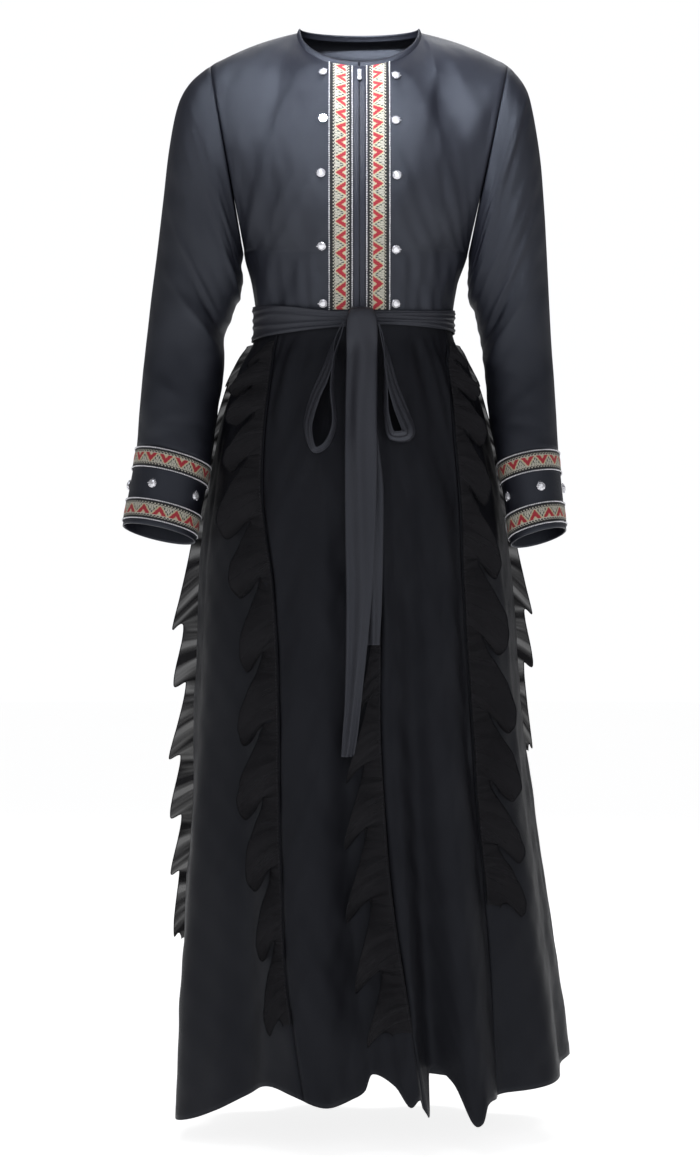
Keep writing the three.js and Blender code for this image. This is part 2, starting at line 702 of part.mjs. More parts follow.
function backSurface() {
  const nudge = new THREE.Vector3(0, SEAM_GAP / 2, 0);
  const [right, left] = SIDES;
  const top = (u) => {
    const fromMiddle = Math.abs(2 * u - 1);
    const side = u < 0.5 ? right : left;
    if (fromMiddle > BACK_NECK_SHARE) {
      return shoulderPoint(side, (1 - fromMiddle) / SHOULDER_SHARE).add(nudge);
    }
    return neckRing(backNeckTurn(u));
  };
  const bottom = (u) => {
    const angle = u < 0.5 ? -90 - 180 * u : 270 - 180 * u;
    return torsoPoint(angle, BODICE_BOTTOM).add(nudge);
  };
  const start = (v) => sideEdge(right, v, ARMHOLE.out).add(nudge);
  const end = (v) => sideEdge(left, v, ARMHOLE.out).add(nudge);
  const sheet = panelBetween({ top, bottom, start, end });
  // The back is as deep as its own profile in the middle, between the two armholes.
  return (u, v) => {
    const point = sheet(u, v);
    const middle = sheet(0.5, v);
    const wanted = rowAt(TORSO, 'down', -middle.z).back;
    const share = Math.sin(Math.PI * u) ** 1.5 * smooth(0, 0.12, v) * (1 - smooth(0.85, 1, v));
    point.y += (wanted - middle.y) * share;
    return point;
  };
}

const backPanel = backSurface();
{
  const [right, left] = SIDES;
  const normal = (natural, u, v) => {
    const side = u < 0.5 ? right : left;
    const fromEdge = u < 0.5 ? u : 1 - u;
    if (v < 1e-6 && fromEdge <= SHOULDER_SHARE / 2) return shoulderFacing(side);
    if (v < 1e-6) return neckFacing(backNeckTurn(u));
    return panelFacing(side, ARMHOLE.out, natural, fromEdge, v);
  };
  const columns = 2 * BODICE_GRID.columns;
  const shape = { columns, rows: BODICE_GRID.rows, inner: -CREPE, outer: 0, normal };
  addPiece('bodice_back', clothWall(backPanel, shape), crepe);
}

// The binding stands on the neckline, from one edge of the zip round the back to the other.
{
  const zipEdge = 180 - THREE.MathUtils.radToDeg(SEAM_GAP / 2 / NECK.halfWidth);
  const turnAt = (u) => mix(-zipEdge, zipEdge, u);
  const surface = (u, v) => {
    const height = mix(BINDING.start, BINDING.height, v);
    return neckRing(turnAt(u)).addScaledVector(neckRise(turnAt(u)), height);
  };
  const normal = (natural, u) => neckFacing(turnAt(u));
  const { inner, outer } = BINDING;
  const shape = { columns: 24, rows: 1, inner, outer, flip: true, normal };
  addPiece('neck_binding', clothWall(surface, shape), crepe);
}

// ---------------------------------------------------------------- front trim and zip
// The point of a front panel at a distance from the centre line, at one share of its length.
function frontPoint(side, x, v) {
  const surface = fronts[side.name];
  const u = solve((at) => -Math.abs(surface(at, v).x), -Math.abs(x), 0, 1);
  const point = surface(u, v);
  point.x = side.sign * Math.abs(x);
  return point;
}

const onPanel = { inner: LAID_GAP, outer: LAID_GAP + RIBBON };

for (const side of SIDES) {
  const surface = (u, v) => frontPoint(side, RIBBON_INNER_X + RIBBON_WIDTH * u, TRIM_END * v);
  const shape = { columns: 4, rows: 14, ...onPanel, flip: side.sign > 0 };
  addPiece(`trim_front_${side.name}`, clothWall(surface, shape), ribbon);
}

function placketSurface(u, v) {
  const x = PLACKET_WIDTH * (u - 0.5);
  const side = x < 0 ? SIDES[0] : SIDES[1];
  const point = frontPoint(side, Math.max(Math.abs(x), SEAM_GAP), TRIM_END * v);
  point.x = x;
  return point;
}
addPiece('zip_placket', clothWall(placketSurface, { columns: 2, rows: 14, ...onPanel, flip: true }), satin);

// A front gem sits square on its panel, at a distance from the centre line and a height.
function gemGeometry() {
  const { radius, height, sides } = GEM;
  const profile = [
    new THREE.Vector2(0, 0),
    new THREE.Vector2(radius, 0),
    new THREE.Vector2(radius, height * 0.4),
    new THREE.Vector2(radius * 0.55, height),
    new THREE.Vector2(0, height),
  ];
  const lathe = new THREE.LatheGeometry(profile, sides).deleteAttribute('uv').deleteAttribute('normal');
  return mergeVertices(lathe, 1e-4);
}

function addGem(name, point, facing, gap = LAID_GAP) {
  const gem = addPiece(name, gemGeometry(), gemstone);
  gem.quaternion.setFromUnitVectors(new THREE.Vector3(0, 1, 0), facing);
  gem.position.copy(point).addScaledVector(facing, gap);
}

for (const side of SIDES) {
  FRONT_GEMS[side.name].forEach((gem, index) => {
    const v = solve((at) => -frontPoint(side, gem.x, at).z, gem.down, 0, 1);
    const surface = (across, along) => frontPoint(side, gem.x + side.sign * (across - 0.5), along);
    const facing = surfaceNormal(surface, 0.5, v, false);
    if (facing.y > 0) facing.negate();
    addGem(`gem_front_${side.name}_${index + 1}`, frontPoint(side, gem.x, v), facing);
  });
}

// ---------------------------------------------------------------- sleeves and cuffs
// A point of a sleeve: its angle runs from the outer side (0) over the front (90).
function sleevePoint(side, angle, number) {
  const row = rowAt(numbered(SLEEVES[side.name]), 'number', number);
  const turn = degrees(angle);
  const across = (row.outer - row.inner) / 2;
  const tilt = (row.innerDown - row.outerDown) / 2;
  const middle = new THREE.Vector3((row.outer + row.inner) / 2, row.middle, 0);
  middle.z = -(row.outerDown + row.innerDown) / 2;
  const arm = new THREE.Vector3(across, 0, tilt).multiplyScalar(Math.cos(turn));
  arm.add(new THREE.Vector3(0, -row.half, row.lift).multiplyScalar(Math.sin(turn)));
  const radial = arm.clone().normalize();
  let fold = 0;
  for (const crease of SLEEVE_FOLDS) {
    const along = (number - crease.row) / crease.length;
    const round = angle - crease.angle - crease.slant * along;
    const nearest = THREE.MathUtils.euclideanModulo(round + 180, 360) - 180;
    fold += crease.out * bell(along, 1) * bell(nearest, crease.width);
  }
  const point = middle.add(arm).addScaledVector(radial, fold * smooth(0, 1.5, number));
  point.x *= side.sign;
  return point;
}

for (const side of SIDES) {
  const flip = side.sign < 0;
  const wall = { columns: 18, closed: true, inner: -CREPE, outer: 0, flip };
  const last = SLEEVES[side.name].length - 1;
  const perRow = rowsPerMillimetre(side);
  const gap = (SEAM_GAP / 2) * perRow;
  const seam = (u) => {
    const turn = u < 0.5 ? 2 * u : 2 - 2 * u;
    return { turn, out: u < 0.5 ? -ARMHOLE.out : ARMHOLE.out };
  };
  const sleeve = (u, v) => {
    const point = sleevePoint(side, 360 * u, (CUFF_TOP_ROW - gap) * v);
    const { turn, out } = seam(u);
    const offset = armholePoint(side, turn, out, 1).sub(armholePoint(side, turn, out, 0));
    return point.addScaledVector(offset, 1 - smooth(0, 0.1, v));
  };
  const normal = (natural, u, v) => {
    const { turn, out } = seam(u);
    return v < 1e-6 ? armholeFacing(side, turn, out) : natural;
  };
  addPiece(`sleeve_${side.name}`, clothWall(sleeve, { ...wall, rows: 10, normal }), crepe);
  const cuff = (u, v) => sleevePoint(side, 360 * u, mix(CUFF_TOP_ROW + gap, last, v));
  addPiece(`cuff_${side.name}`, clothWall(cuff, { ...wall, columns: 24, rows: 2 }), crepe);
  const laid = { ...wall, ...onPanel, columns: 24, rows: 1 };
  const upperStart = CUFF_TOP_ROW + 2 * gap;
  const lowerEnd = last - CUFF_EDGE * perRow;
  const bands = {
    upper: [upperStart, upperStart + CUFF_BAND * perRow],
    lower: [lowerEnd - CUFF_BAND * perRow, lowerEnd],
  };
  for (const [place, [start, end]] of Object.entries(bands)) {
    const band = (u, v) => sleevePoint(side, 360 * u, mix(start, end, v));
    addPiece(`cuff_trim_${place}_${side.name}`, clothWall(band, laid), ribbon);
  }
  const middle = (bands.upper[1] + bands.lower[0]) / 2;
  for (let index = 0; index < CUFF_GEM_COUNT; index += 1) {
    const angle = CUFF_GEM_START[side.name] + (360 * index) / CUFF_GEM_COUNT;
    const surface = (u, v) => sleevePoint(side, 360 * u, mix(CUFF_TOP_ROW, last, v));
    const share = (middle - CUFF_TOP_ROW) / (last - CUFF_TOP_ROW);
    const facing = surfaceNormal(surface, angle / 360, share, true);
    if (flip) facing.negate();
    const point = sleevePoint(side, angle, middle);
    addGem(`gem_cuff_${side.name}_${index + 1}`, point, facing, SEAM_GAP);
  }
}

// How much of a numbered sleeve section one millimetre of cuff is.
function rowsPerMillimetre(side) {
  const rows = SLEEVES[side.name];
  const first = rows[CUFF_TOP_ROW];
  const last = rows[rows.length - 1];
  const length = Math.hypot(last.outer - first.outer, last.outerDown - first.outerDown);
  return (rows.length - 1 - CUFF_TOP_ROW) / length;
}

// ---------------------------------------------------------------- skirt
function skirtPoint(angle, down) {
  const share = clamp((down - WAIST_DOWN) / (HEM_DOWN - WAIST_DOWN), 0, 1);
  let out = 0;
  for (const fold of SKIRT_FOLDS) {
    const centre = mix(fold.waist, fold.hem, share);
    const away = THREE.MathUtils.euclideanModulo(angle - centre + 180, 360) - 180;
    const growth = Math.max(share - fold.from, 0) / (1 - fold.from);
    out += fold.out * growth * bell(away, fold.width);
  }
  const gathered = smooth(GATHERS.start, GATHERS.full, down) * (1 - smooth(GATHERS.full, GATHERS.end, down));
  out += GATHERS.out * gathered * Math.sin(degrees(GATHERS.count * angle));
  const turn = degrees(angle);
  const outward = new THREE.Vector3(Math.sin(turn), -Math.cos(turn), 0);
  return torsoPoint(angle, down).addScaledVector(outward, out);
}

function angleAt(x, down) {
  const row = rowAt(TORSO, 'down', down);
  return THREE.MathUtils.radToDeg(Math.asin(clamp(x / (x < 0 ? row.right : row.left), -1, 1)));
}

function seamAngle(name, down) {
  if (name === 'side_right') return -SIDE_SEAM_ANGLE;
  if (name === 'side_left') return SIDE_SEAM_ANGLE;
  if (name === 'side_right_behind') return 360 - SIDE_SEAM_ANGLE;
  return angleAt(rowAt(FRONT_SEAMS, 'down', down)[name], down);
}

function hemDown(angle) {
  return rowAt(HEM, 'angle', angle > 180 ? angle - 360 : angle).down;
}

// The first row of a panel lies just under the sash, and the rest get longer towards the hem.
function skirtRowDown(v, hem) {
  const first = 1 / SKIRT_ROWS;
  if (v < first) return mix(SKIRT_TOP, SKIRT_FIRST_ROW_DOWN, v / first);
  return mix(SKIRT_FIRST_ROW_DOWN, hem, ((v - first) / (1 - first)) ** SKIRT_ROW_EASE);
}

for (const panel of SKIRT_PANELS) {
  const surface = (u, v) => {
    const hemAngle = mix(seamAngle(panel.from, HEM_DOWN), seamAngle(panel.to, HEM_DOWN), u);
    const down = skirtRowDown(v, hemDown(hemAngle));
    const width = rowAt(TORSO, 'down', down).left;
    const inset = THREE.MathUtils.radToDeg(SEAM_GAP / 2 / width);
    const start = seamAngle(panel.from, down) + inset;
    const end = seamAngle(panel.to, down) - inset;
    return skirtPoint(mix(start, end, u), down);
  };
  const shape = { columns: panel.columns, rows: SKIRT_ROWS, inner: -CREPE, outer: 0, flip: true };
  addPiece(panel.name, clothWall(surface, shape), crepe);
}

function offSkirt(angle, down, off) {
  const turn = degrees(angle);
  const outward = new THREE.Vector3(Math.sin(turn), -Math.cos(turn), 0);
  return skirtPoint(angle, down).addScaledVector(outward, off);
}

// A point in front of the skirt, at a distance from the centre line and a height.
function beforeSkirt(x, down, off) {
  const point = offSkirt(angleAt(x, down), down, off);
  point.x = x;
  return point;
}

// ---------------------------------------------------------------- sash
{
  const surface = (u, v) => {
    const angle = mix(-180, 180, u);
    const edges = rowAt(BELT_EDGES, 'angle', angle);
    const phase = BELT.creases * v + 0.6 * Math.sin(degrees(angle));
    const crease = BELT.crease * (0.5 - 0.5 * Math.cos(2 * Math.PI * phase));
    const turn = degrees(angle);
    const outward = new THREE.Vector3(Math.sin(turn), -Math.cos(turn), 0);
    const down = mix(edges.top, edges.bottom, v);
    return torsoPoint(angle, down).addScaledVector(outward, BELT.gap + crease);
  };
  const shape = { columns: 36, rows: 5, closed: true, inner: 0, outer: CREPE, flip: true };
  addPiece('belt', clothWall(surface, shape), crepe);
}

{
  const knot = addPiece('belt_knot', mergeVertices(roundLump(), 1e-4), crepe);
  knot.scale.set(KNOT.width / 2, KNOT.depth / 2, KNOT.height / 2);
  knot.position.set(KNOT.x, -KNOT.out, -KNOT.down);
}

// A knot's lump, one unit round, a little squarer than a ball.
function roundLump() {
  const lump = new THREE.SphereGeometry(1, 14, 10);
  lump.deleteAttribute('uv').deleteAttribute('normal');
  const places = lump.getAttribute('position');
  for (let index = 0; index < places.count; index += 1) {
    const squarer = (value) => Math.sign(value) * Math.abs(value) ** 0.8;
    const [x, y, z] = [places.getX(index), places.getY(index), places.getZ(index)];
    places.setXYZ(index, squarer(x), y, squarer(z));
  }
  return lump;
}

const TAILS = { belt_tail_front: FRONT_TAIL, belt_tail_rear: REAR_TAIL };
for (const [name, rows] of Object.entries(TAILS)) {
  const last = rows[rows.length - 1].down;
  const surface = (u, v) => {
    const row = rowAt(rows, 'down', mix(rows[0].down, last, v));
    return beforeSkirt(row.x + row.half * (2 * u - 1), row.down, row.off);
  };
  const shape = { columns: 4, rows: 12, inner: 0, outer: CREPE, flip: true };
  addPiece(name, clothWall(surface, shape), crepe);
}

for (const side of SIDES) {
  const { depth, off, outline } = BOW_LOOPS[side.name];
  const ring = outline.map((corner) => new THREE.Vector3(corner.x, 0, -corner.down));
  const curve = new THREE.CatmullRomCurve3(ring, true, 'centripetal');
  const surface = (u, v) => {
    const middle = curve.getPoint(((u % 1) + 1) % 1);
    return beforeSkirt(middle.x, -middle.z, off + depth * v);
  };
  const shape = { columns: 28, rows: 1, closed: true, inner: -CREPE / 2, outer: CREPE / 2 };
  addPiece(`bow_loop_${side.name}`, clothWall(surface, { ...shape, flip: side.sign < 0 }), crepe);
}

// ---------------------------------------------------------------- ruffles
const centred = { inner: -CHIFFON / 2, outer: CHIFFON / 2 };

for (const [name, ruffle] of Object.entries(FRONT_RUFFLES)) {
  const { rows, waves, seam } = ruffle;
  const first = rows[0].down;
  const last = rows[rows.length - 1].down;
  const surface = (u, v) => {
    const row = rowAt(rows, 'down', mix(first, last, v));
    const swing = 0.5 - 0.5 * Math.cos(2 * Math.PI * (waves * v + 0.25 * u));
    const torso = rowAt(TORSO, 'down', row.down);
    const round = THREE.MathUtils.radToDeg((2 * row.reach * u) / (torso.front + torso.left));
    const off = RUFFLE_GAP + CHIFFON + row.out * u * swing;
    return offSkirt(seamAngle(seam, row.down) + round, row.down, off);
  };
  const shape = { columns: 2, rows: waves * 5, ...centred };
  addPiece(name, clothWall(surface, shape), chiffon);
}

for (const [name, ruffle] of Object.entries(SIDE_RUFFLES)) {
  const { rows, waves, side } = ruffle;
  const first = rows[0].down;
  const last = rows[rows.length - 1].down;
  const surface = (u, v) => {
    const row = rowAt(rows, 'down', mix(first, last, v));
    const point = skirtPoint(side * SIDE_SEAM_ANGLE, row.down);
    point.x += side * (SIDE_RUFFLE_GAP + row.reach * u);
    point.y += row.out * u * Math.sin(2 * Math.PI * (waves * v + SIDE_RUFFLE_PHASE));
    return point;
  };
  const shape = { columns: 2, rows: waves * 4, ...centred };
  addPiece(name, clothWall(surface, shape), chiffon);
}

// ---------------------------------------------------------------- zip slider and pull tab
function outlineShape(points) {
  return new THREE.Shape(points.map(([x, y]) => new THREE.Vector2(x, y)));
}

function plainSolid(geometry) {
  geometry.deleteAttribute('uv').deleteAttribute('normal');
  return mergeVertices(geometry, 1e-4);
}

const wasm = await Module();
wasm.setup();

function toSolid(geometry) {
  const { position } = geometry.attributes;
  const vertProperties = new Float32Array(position.array);
  const triVerts = new Uint32Array(geometry.index.array);
  return new wasm.Manifold(new wasm.Mesh({ numProp: 3, vertProperties, triVerts }));
}

function fromSolid(solid) {
  const mesh = solid.getMesh();
  const geometry = new THREE.BufferGeometry();
  geometry.setAttribute('position', new THREE.Float32BufferAttribute(mesh.vertProperties, 3));
  geometry.setIndex(Array.from(mesh.triVerts));
  return geometry;
}

const zip = new THREE.Group();
abaya.add(zip);

{
  const plate = plainSolid(new THREE.BoxGeometry(SLIDER.length, SLIDER.plate, SLIDER.width));
  plate.translate(0, SLIDER.plate / 2, 0);
  const top = SLIDER.plate + PULL.height + BRIDGE.outside;
  const under = SLIDER.plate + PULL.height + BRIDGE.inside;
  const reach = SLIDER.bridgeReach;
  const sunk = SLIDER.plate / 2;
  const arch = outlineShape([
    [-reach, sunk],
    [-reach + BRIDGE.leg, sunk],
    [-reach + BRIDGE.leg, under],
    [reach - BRIDGE.leg, under],
    [reach - BRIDGE.leg, sunk],
    [reach, sunk],
    [reach, top],
    [-reach, top],
  ]);
  const bridge = new THREE.ExtrudeGeometry(arch, { depth: SLIDER.bridgeWidth, bevelEnabled: false });
  bridge.translate(0, 0, -SLIDER.bridgeWidth / 2);
  const body = toSolid(plate).add(toSolid(plainSolid(bridge)));
  const slider = new THREE.Mesh(fromSolid(body), metal);
  slider.name = 'zip_slider';
  zip.add(slider);
}

{
  // The pull is a flat drop with a square eye whose upper bar lies under the bridge.
  const half = PULL.width / 2;
  const drop = new THREE.Shape();
  drop.moveTo(-PULL.pin, -half * 0.75);
  drop.lineTo(PULL.hole + 0.8, -half * 0.75);
  drop.lineTo(PULL.length - half, -half);
  drop.absarc(PULL.length - half, 0, half, -Math.PI / 2, Math.PI / 2, false);
  drop.lineTo(PULL.hole + 0.8, half * 0.75);
  drop.lineTo(-PULL.pin, half * 0.75);
  drop.closePath();
  const eye = new THREE.Path();
  const eyeHalf = SLIDER.bridgeWidth / 2 + 0.5;
  eye.moveTo(PULL.pin, -eyeHalf);
  eye.lineTo(PULL.pin, eyeHalf);
  eye.lineTo(PULL.hole, eyeHalf);
  eye.lineTo(PULL.hole, -eyeHalf);
  eye.closePath();
  drop.holes.push(eye);
  const shape = { depth: PULL.thickness, bevelEnabled: false, curveSegments: 8 };
  const geometry = plainSolid(new THREE.ExtrudeGeometry(drop, shape));
  geometry.translate(0, 0, -PULL.thickness / 2).rotateX(-Math.PI / 2);
  const pull = new THREE.Mesh(geometry, metal);
  pull.name = 'zip_pull';
  pull.position.y = SLIDER.plate + PULL.height;
  zip.add(pull);
}

{
  const v = solve((at) => -placketSurface(0.5, at).z, SLIDER_DOWN, 0, 1);
  const facing = surfaceNormal(placketSurface, 0.5, v, false).negate();
  facing.setX(0).normalize();
  const across = new THREE.Vector3(1, 0, 0);
  const downwards = new THREE.Vector3().crossVectors(facing, across).negate();
  if (downwards.z > 0) downwards.negate();
  const side = new THREE.Vector3().crossVectors(downwards, facing);
  zip.quaternion.setFromRotationMatrix(new THREE.Matrix4().makeBasis(downwards, facing, side));
  zip.position.copy(placketSurface(0.5, v));
  zip.position.addScaledVector(facing, LAID_GAP + RIBBON + SEAM_GAP);
}

export default abaya;
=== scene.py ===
"""The looks of an abaya: a zipped bodice with ribbon trim, set-in sleeves with cuffs, a tied sash
and a flared skirt with chiffon ruffles, drawn on the same surfaces as its solids. Sizes are in
millimetres until a mesh is made, heights are given as the distance `down` from the shoulders, and
angles run in degrees round the body from centre front towards the wearer's left."""

import math

import bpy
import numpy as np
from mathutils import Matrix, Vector


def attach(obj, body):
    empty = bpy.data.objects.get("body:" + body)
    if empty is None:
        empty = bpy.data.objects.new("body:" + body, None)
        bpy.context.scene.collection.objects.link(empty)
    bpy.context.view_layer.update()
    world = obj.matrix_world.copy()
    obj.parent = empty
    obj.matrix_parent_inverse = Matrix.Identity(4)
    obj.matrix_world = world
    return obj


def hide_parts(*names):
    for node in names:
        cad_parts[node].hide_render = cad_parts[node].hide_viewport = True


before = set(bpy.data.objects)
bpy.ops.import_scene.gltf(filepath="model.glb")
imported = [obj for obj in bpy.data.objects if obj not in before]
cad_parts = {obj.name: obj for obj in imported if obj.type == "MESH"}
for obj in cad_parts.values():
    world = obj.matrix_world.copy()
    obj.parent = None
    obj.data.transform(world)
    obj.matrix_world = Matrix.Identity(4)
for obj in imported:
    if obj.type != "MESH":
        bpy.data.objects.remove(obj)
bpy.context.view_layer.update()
MM = 0.001
random = np.random.default_rng(7)

# ------------------------------------------------------------------ sizes, as in the source
NECK = dict(half=80, front_down=55, front_out=76, back_down=2, back_out=46)
ARMHOLE = dict(tip_x=194, tip_down=43, under_down=285, out=58)
SHOULDER_BOW = 5
WAIST = 376
HEM_DOWN = 1390
UNDERARM_SHARE = 0.76
NECK_FADE = 2.4
NECK_LEAN = 0.42
SHOULDER_SHARE = 0.4
BACK_NECK_SHARE = 0.6
RIBBON_INNER_X = 8.3
RIBBON_WIDTH = 31
TRIM_END = 0.975
LAID = 0.6
SIDE_SEAM = 99
CUFF_TOP_ROW = 9
SIDES = {"right": -1, "left": 1}

# down, half width on the right and left, depth in front and behind
TORSO = [
    (0, 140, 136, 52, 44), (43, 146, 140, 70, 66), (90, 150, 142, 96, 82), (150, 150, 142, 113, 94),
    (220, 150, 142, 123, 99), (285, 150, 142, 117, 97), (330, 139, 127, 108, 93),
    (376, 134, 120, 101, 91), (402, 137, 124, 102, 94), (440, 156, 141, 111, 107),
    (516, 181, 166, 124, 128), (620, 198, 187, 136, 142), (737, 208, 201, 147, 153),
    (867, 212, 211, 158, 163), (997, 217, 227, 168, 173), (1127, 225, 247, 178, 184),
    (1257, 229, 266, 188, 195), (1390, 232, 281, 198, 206),
]
# angle, down
HEM = [
    (-180, 1372), (-150, 1388), (-120, 1374), (-90, 1380), (-68, 1398), (-52, 1380), (-40, 1358),
    (-27.5, 1341), (-18, 1350), (-9, 1364), (0, 1354), (3, 1345), (5.6, 1324), (11, 1338), (13.2, 1362),
    (16.3, 1354), (19, 1378), (21.4, 1321), (25.8, 1336), (28.4, 1384), (30.8, 1386), (33, 1364),
    (38, 1359), (52, 1352), (68, 1340), (90, 1326), (120, 1366), (150, 1388), (180, 1372),
]
# angle at the waist and at the hem, half width, how far it stands out, where it begins
SKIRT_FOLDS = [
    (-62, -68, 9, 20, 0.25), (-44, -40, 8, -16, 0.15), (-22, -17, 10, 14, 0.1),
    (-6, -2, 6, -16, 0.05), (10, 14, 3.6, 17, 0.35), (17, 21, 4.5, -18, 0.1), (30, 31, 6, 18, 0.1),
    (44, 43, 6, -16, 0.1), (60, 58, 8, 12, 0.3), (78, 76, 7, -10, 0.4), (104, 106, 8, -15, 0.2),
    (122, 124, 9, 16, 0.15), (140, 142, 7, -15, 0.1), (157, 158, 8, 15, 0.15),
    (175, 176, 8, -15, 0.1), (-166, -165, 8, 15, 0.12), (-148, -148, 7, -14, 0.1),
    (-130, -131, 9, 16, 0.15), (-110, -112, 8, -14, 0.2),
]
# down, and how far each front seam of the skirt lies from the centre line
FRONT_SEAMS = [
    (376, -100, 6, 111), (402, -106, 8, 113), (440, -113, 12, 114), (520, -121, 17, 120),
    (610, -123, 21, 129), (711, -109, 25, 133), (802, -102, 26, 139), (900, -99, 26, 147),
    (1000, -98, 31, 154), (1100, -94, 39, 165), (1200, -89, 52, 173), (1290, -76, 66, 178),
    (1390, -60, 84, 182),
]
SEAM_COLUMNS = {"right": 0, "centre": 1, "left": 2}
# row, outer and its down, inner and its down, middle, half depth, lift of the front
SLEEVES = {
    "right": [
        (0, 194, 43, 150, 285, 0, 58, 0), (1, 220, 66, 152, 301, 0, 62, 0),
        (2, 236, 96, 152, 320, 1, 63, 0), (3, 247, 150, 155, 345, 3, 61, 0),
        (4, 255, 217, 165, 366, 5, 58, 0), (5, 263, 285, 172, 388, 6, 55, 0),
        (6, 271, 350, 175, 418, 3, 52, 2), (7, 278, 425, 180, 468, -8, 49, 5),
        (8, 284, 495, 186, 522, -24, 46, 8), (9, 287, 542, 192, 566, -36, 44, 9),
        (10, 295, 592, 201, 614, -48, 44, 9), (11, 303, 642, 210, 662, -60, 44, 9),
    ],
    "left": [
        (0, 194, 43, 142, 285, 0, 58, 0), (1, 214, 68, 142, 303, 0, 62, 0),
        (2, 224, 96, 141, 322, 1, 63, 0), (3, 235, 160, 144, 350, 3, 60, 0),
        (4, 240, 217, 151, 370, 5, 57, 0), (5, 244, 285, 157, 398, 6, 54, 0),
        (6, 247, 350, 161, 428, 3, 51, 2), (7, 250, 425, 165, 470, -8, 48, 5),
        (8, 254, 500, 171, 522, -28, 45, 8), (9, 256, 548, 178, 562, -44, 43, 9),
        (10, 260, 598, 186, 613, -58, 43, 9), (11, 264, 648, 193, 666, -72, 43, 9),
    ],
}
# section, angle, half length, half width, how far it stands out, slant
SLEEVE_FOLDS = [
    (2.2, 120, 1.3, 26, 4, 14), (3.4, 60, 1.2, 22, -3, -12), (5.2, 150, 0.7, 34, -5, 20),
    (5.9, 120, 0.7, 34, 4, 20), (6.6, 80, 0.8, 30, -3, -16), (7.6, 40, 0.8, 26, 3, 10),
    (5.6, 250, 0.8, 30, 4, -10), (6.8, 290, 0.9, 28, -3, 12),
]


# ------------------------------------------------------------------ surfaces
def row_at(table, at):
    """The other columns of a table at values of its first column, on a smooth curve."""
    table = np.asarray(table, float)
    keys, at = table[:, 0], np.asarray(at, float)
    last = len(keys) - 1
    i = np.clip(np.searchsorted(keys, at, side="left") - 1, 0, last - 1)
    before, after = np.maximum(i - 1, 0), np.minimum(i + 2, last)
    span = (keys[i + 1] - keys[i])[..., None]
    t = np.clip((at - keys[i])[..., None] / span, 0, 1)
    start, end = table[i], table[i + 1]
    start_slope = (end - table[before]) / (keys[i + 1] - keys[before])[..., None] * span
    end_slope = (table[after] - start) / (keys[after] - keys[i])[..., None] * span
    t2, t3 = t * t, t * t * t
    value = start * (2 * t3 - 3 * t2 + 1) + start_slope * (t3 - 2 * t2 + t)
    value += end * (3 * t2 - 2 * t3) + end_slope * (t3 - t2)
    return np.moveaxis(value[..., 1:], -1, 0)


def smooth(low, high, at):
    """0 up to low, 1 from high on, and a soft step between them."""
    t = np.clip((np.asarray(at, float) - low) / (high - low), 0, 1)
    return t * t * (3 - 2 * t)


def bell(away, width):
    """1 in the middle of a bump and almost 0 at twice its width away."""
    return np.exp(-((away / width) ** 2))


def around(angle):
    """An angle brought to between -180 and 180."""
    return (np.asarray(angle) + 180) % 360 - 180


def xyz(x, y, z):
    x, y, z = np.broadcast_arrays(x, y, z)
    return np.stack([x, y, z], axis=-1).astype(float)


def mixed(a, b, t):
    return a + (b - a) * t


def torso(angle, down):
    """A point of the smooth body that the bodice and the skirt are drawn on."""
    right, left, front, back = row_at(TORSO, down)
    turn = np.radians(angle)
    half = np.where(np.sin(turn) < 0, right, left)
    depth = np.where(np.cos(turn) > 0, front, back)
    return xyz(half * np.sin(turn), -depth * np.cos(turn), -np.asarray(down, float))


def outward(angle):
    turn = np.radians(angle)
    return xyz(np.sin(turn), -np.cos(turn), 0)


def armhole(side, turn, out):
    """The armhole's edge: its turn runs from the shoulder tip (0) to the underarm (1)."""
    sign = SIDES[side]
    under = row_at(TORSO, ARMHOLE["under_down"])[0 if side == "right" else 1]
    tip = np.array([sign * ARMHOLE["tip_x"], 0, -ARMHOLE["tip_down"]])
    low = np.array([sign * float(under), 0, -ARMHOLE["under_down"]])
    middle, half = (tip + low) / 2, (tip - low) / 2
    swing = np.pi * np.asarray(turn, float)[..., None]
    return middle + half * np.cos(swing) + np.array([0, out, 0]) * np.sin(swing)


def neck_ring(turn):
    """The neckline: its turn is 0 behind and 180 in front."""
    turn = np.asarray(turn, float)
    behind = np.abs(turn) < 90
    out = np.where(behind, NECK["back_out"], NECK["front_out"])
    down = np.where(behind, NECK["back_down"], NECK["front_down"])
    c, s = np.cos(np.radians(turn)), np.sin(np.radians(turn))
    return xyz(NECK["half"] * s, out * c, -down * np.abs(c))


def neck_rise(turn):
    """The direction that the binding stands in: up, leaning in over the neck."""
    c, s = np.cos(np.radians(turn)), np.sin(np.radians(turn))
    rise = xyz(-s * NECK_LEAN, -c * NECK_LEAN, 1)
    return rise / np.linalg.norm(rise, axis=-1, keepdims=True)


def shoulder(side, share):
    x = mixed(ARMHOLE["tip_x"], NECK["half"], share)
    bow = SHOULDER_BOW * np.sin(np.pi * share)
    return xyz(SIDES[side] * x, 0, mixed(-ARMHOLE["tip_down"], 0, share) + bow)


def side_edge(side, v, out):
    """The armhole's edge and then the side seam of a panel, from shoulder tip to waist."""
    v = np.asarray(v, float)
    hole = armhole(side, np.minimum(v / UNDERARM_SHARE, 1), out)
    share = np.clip((v - UNDERARM_SHARE) / (1 - UNDERARM_SHARE), 0, 1)
    low = torso(90 * SIDES[side], mixed(ARMHOLE["under_down"], WAIST, share))
    low[..., 1] = 0
    return np.where((v < UNDERARM_SHARE)[..., None], hole, low)


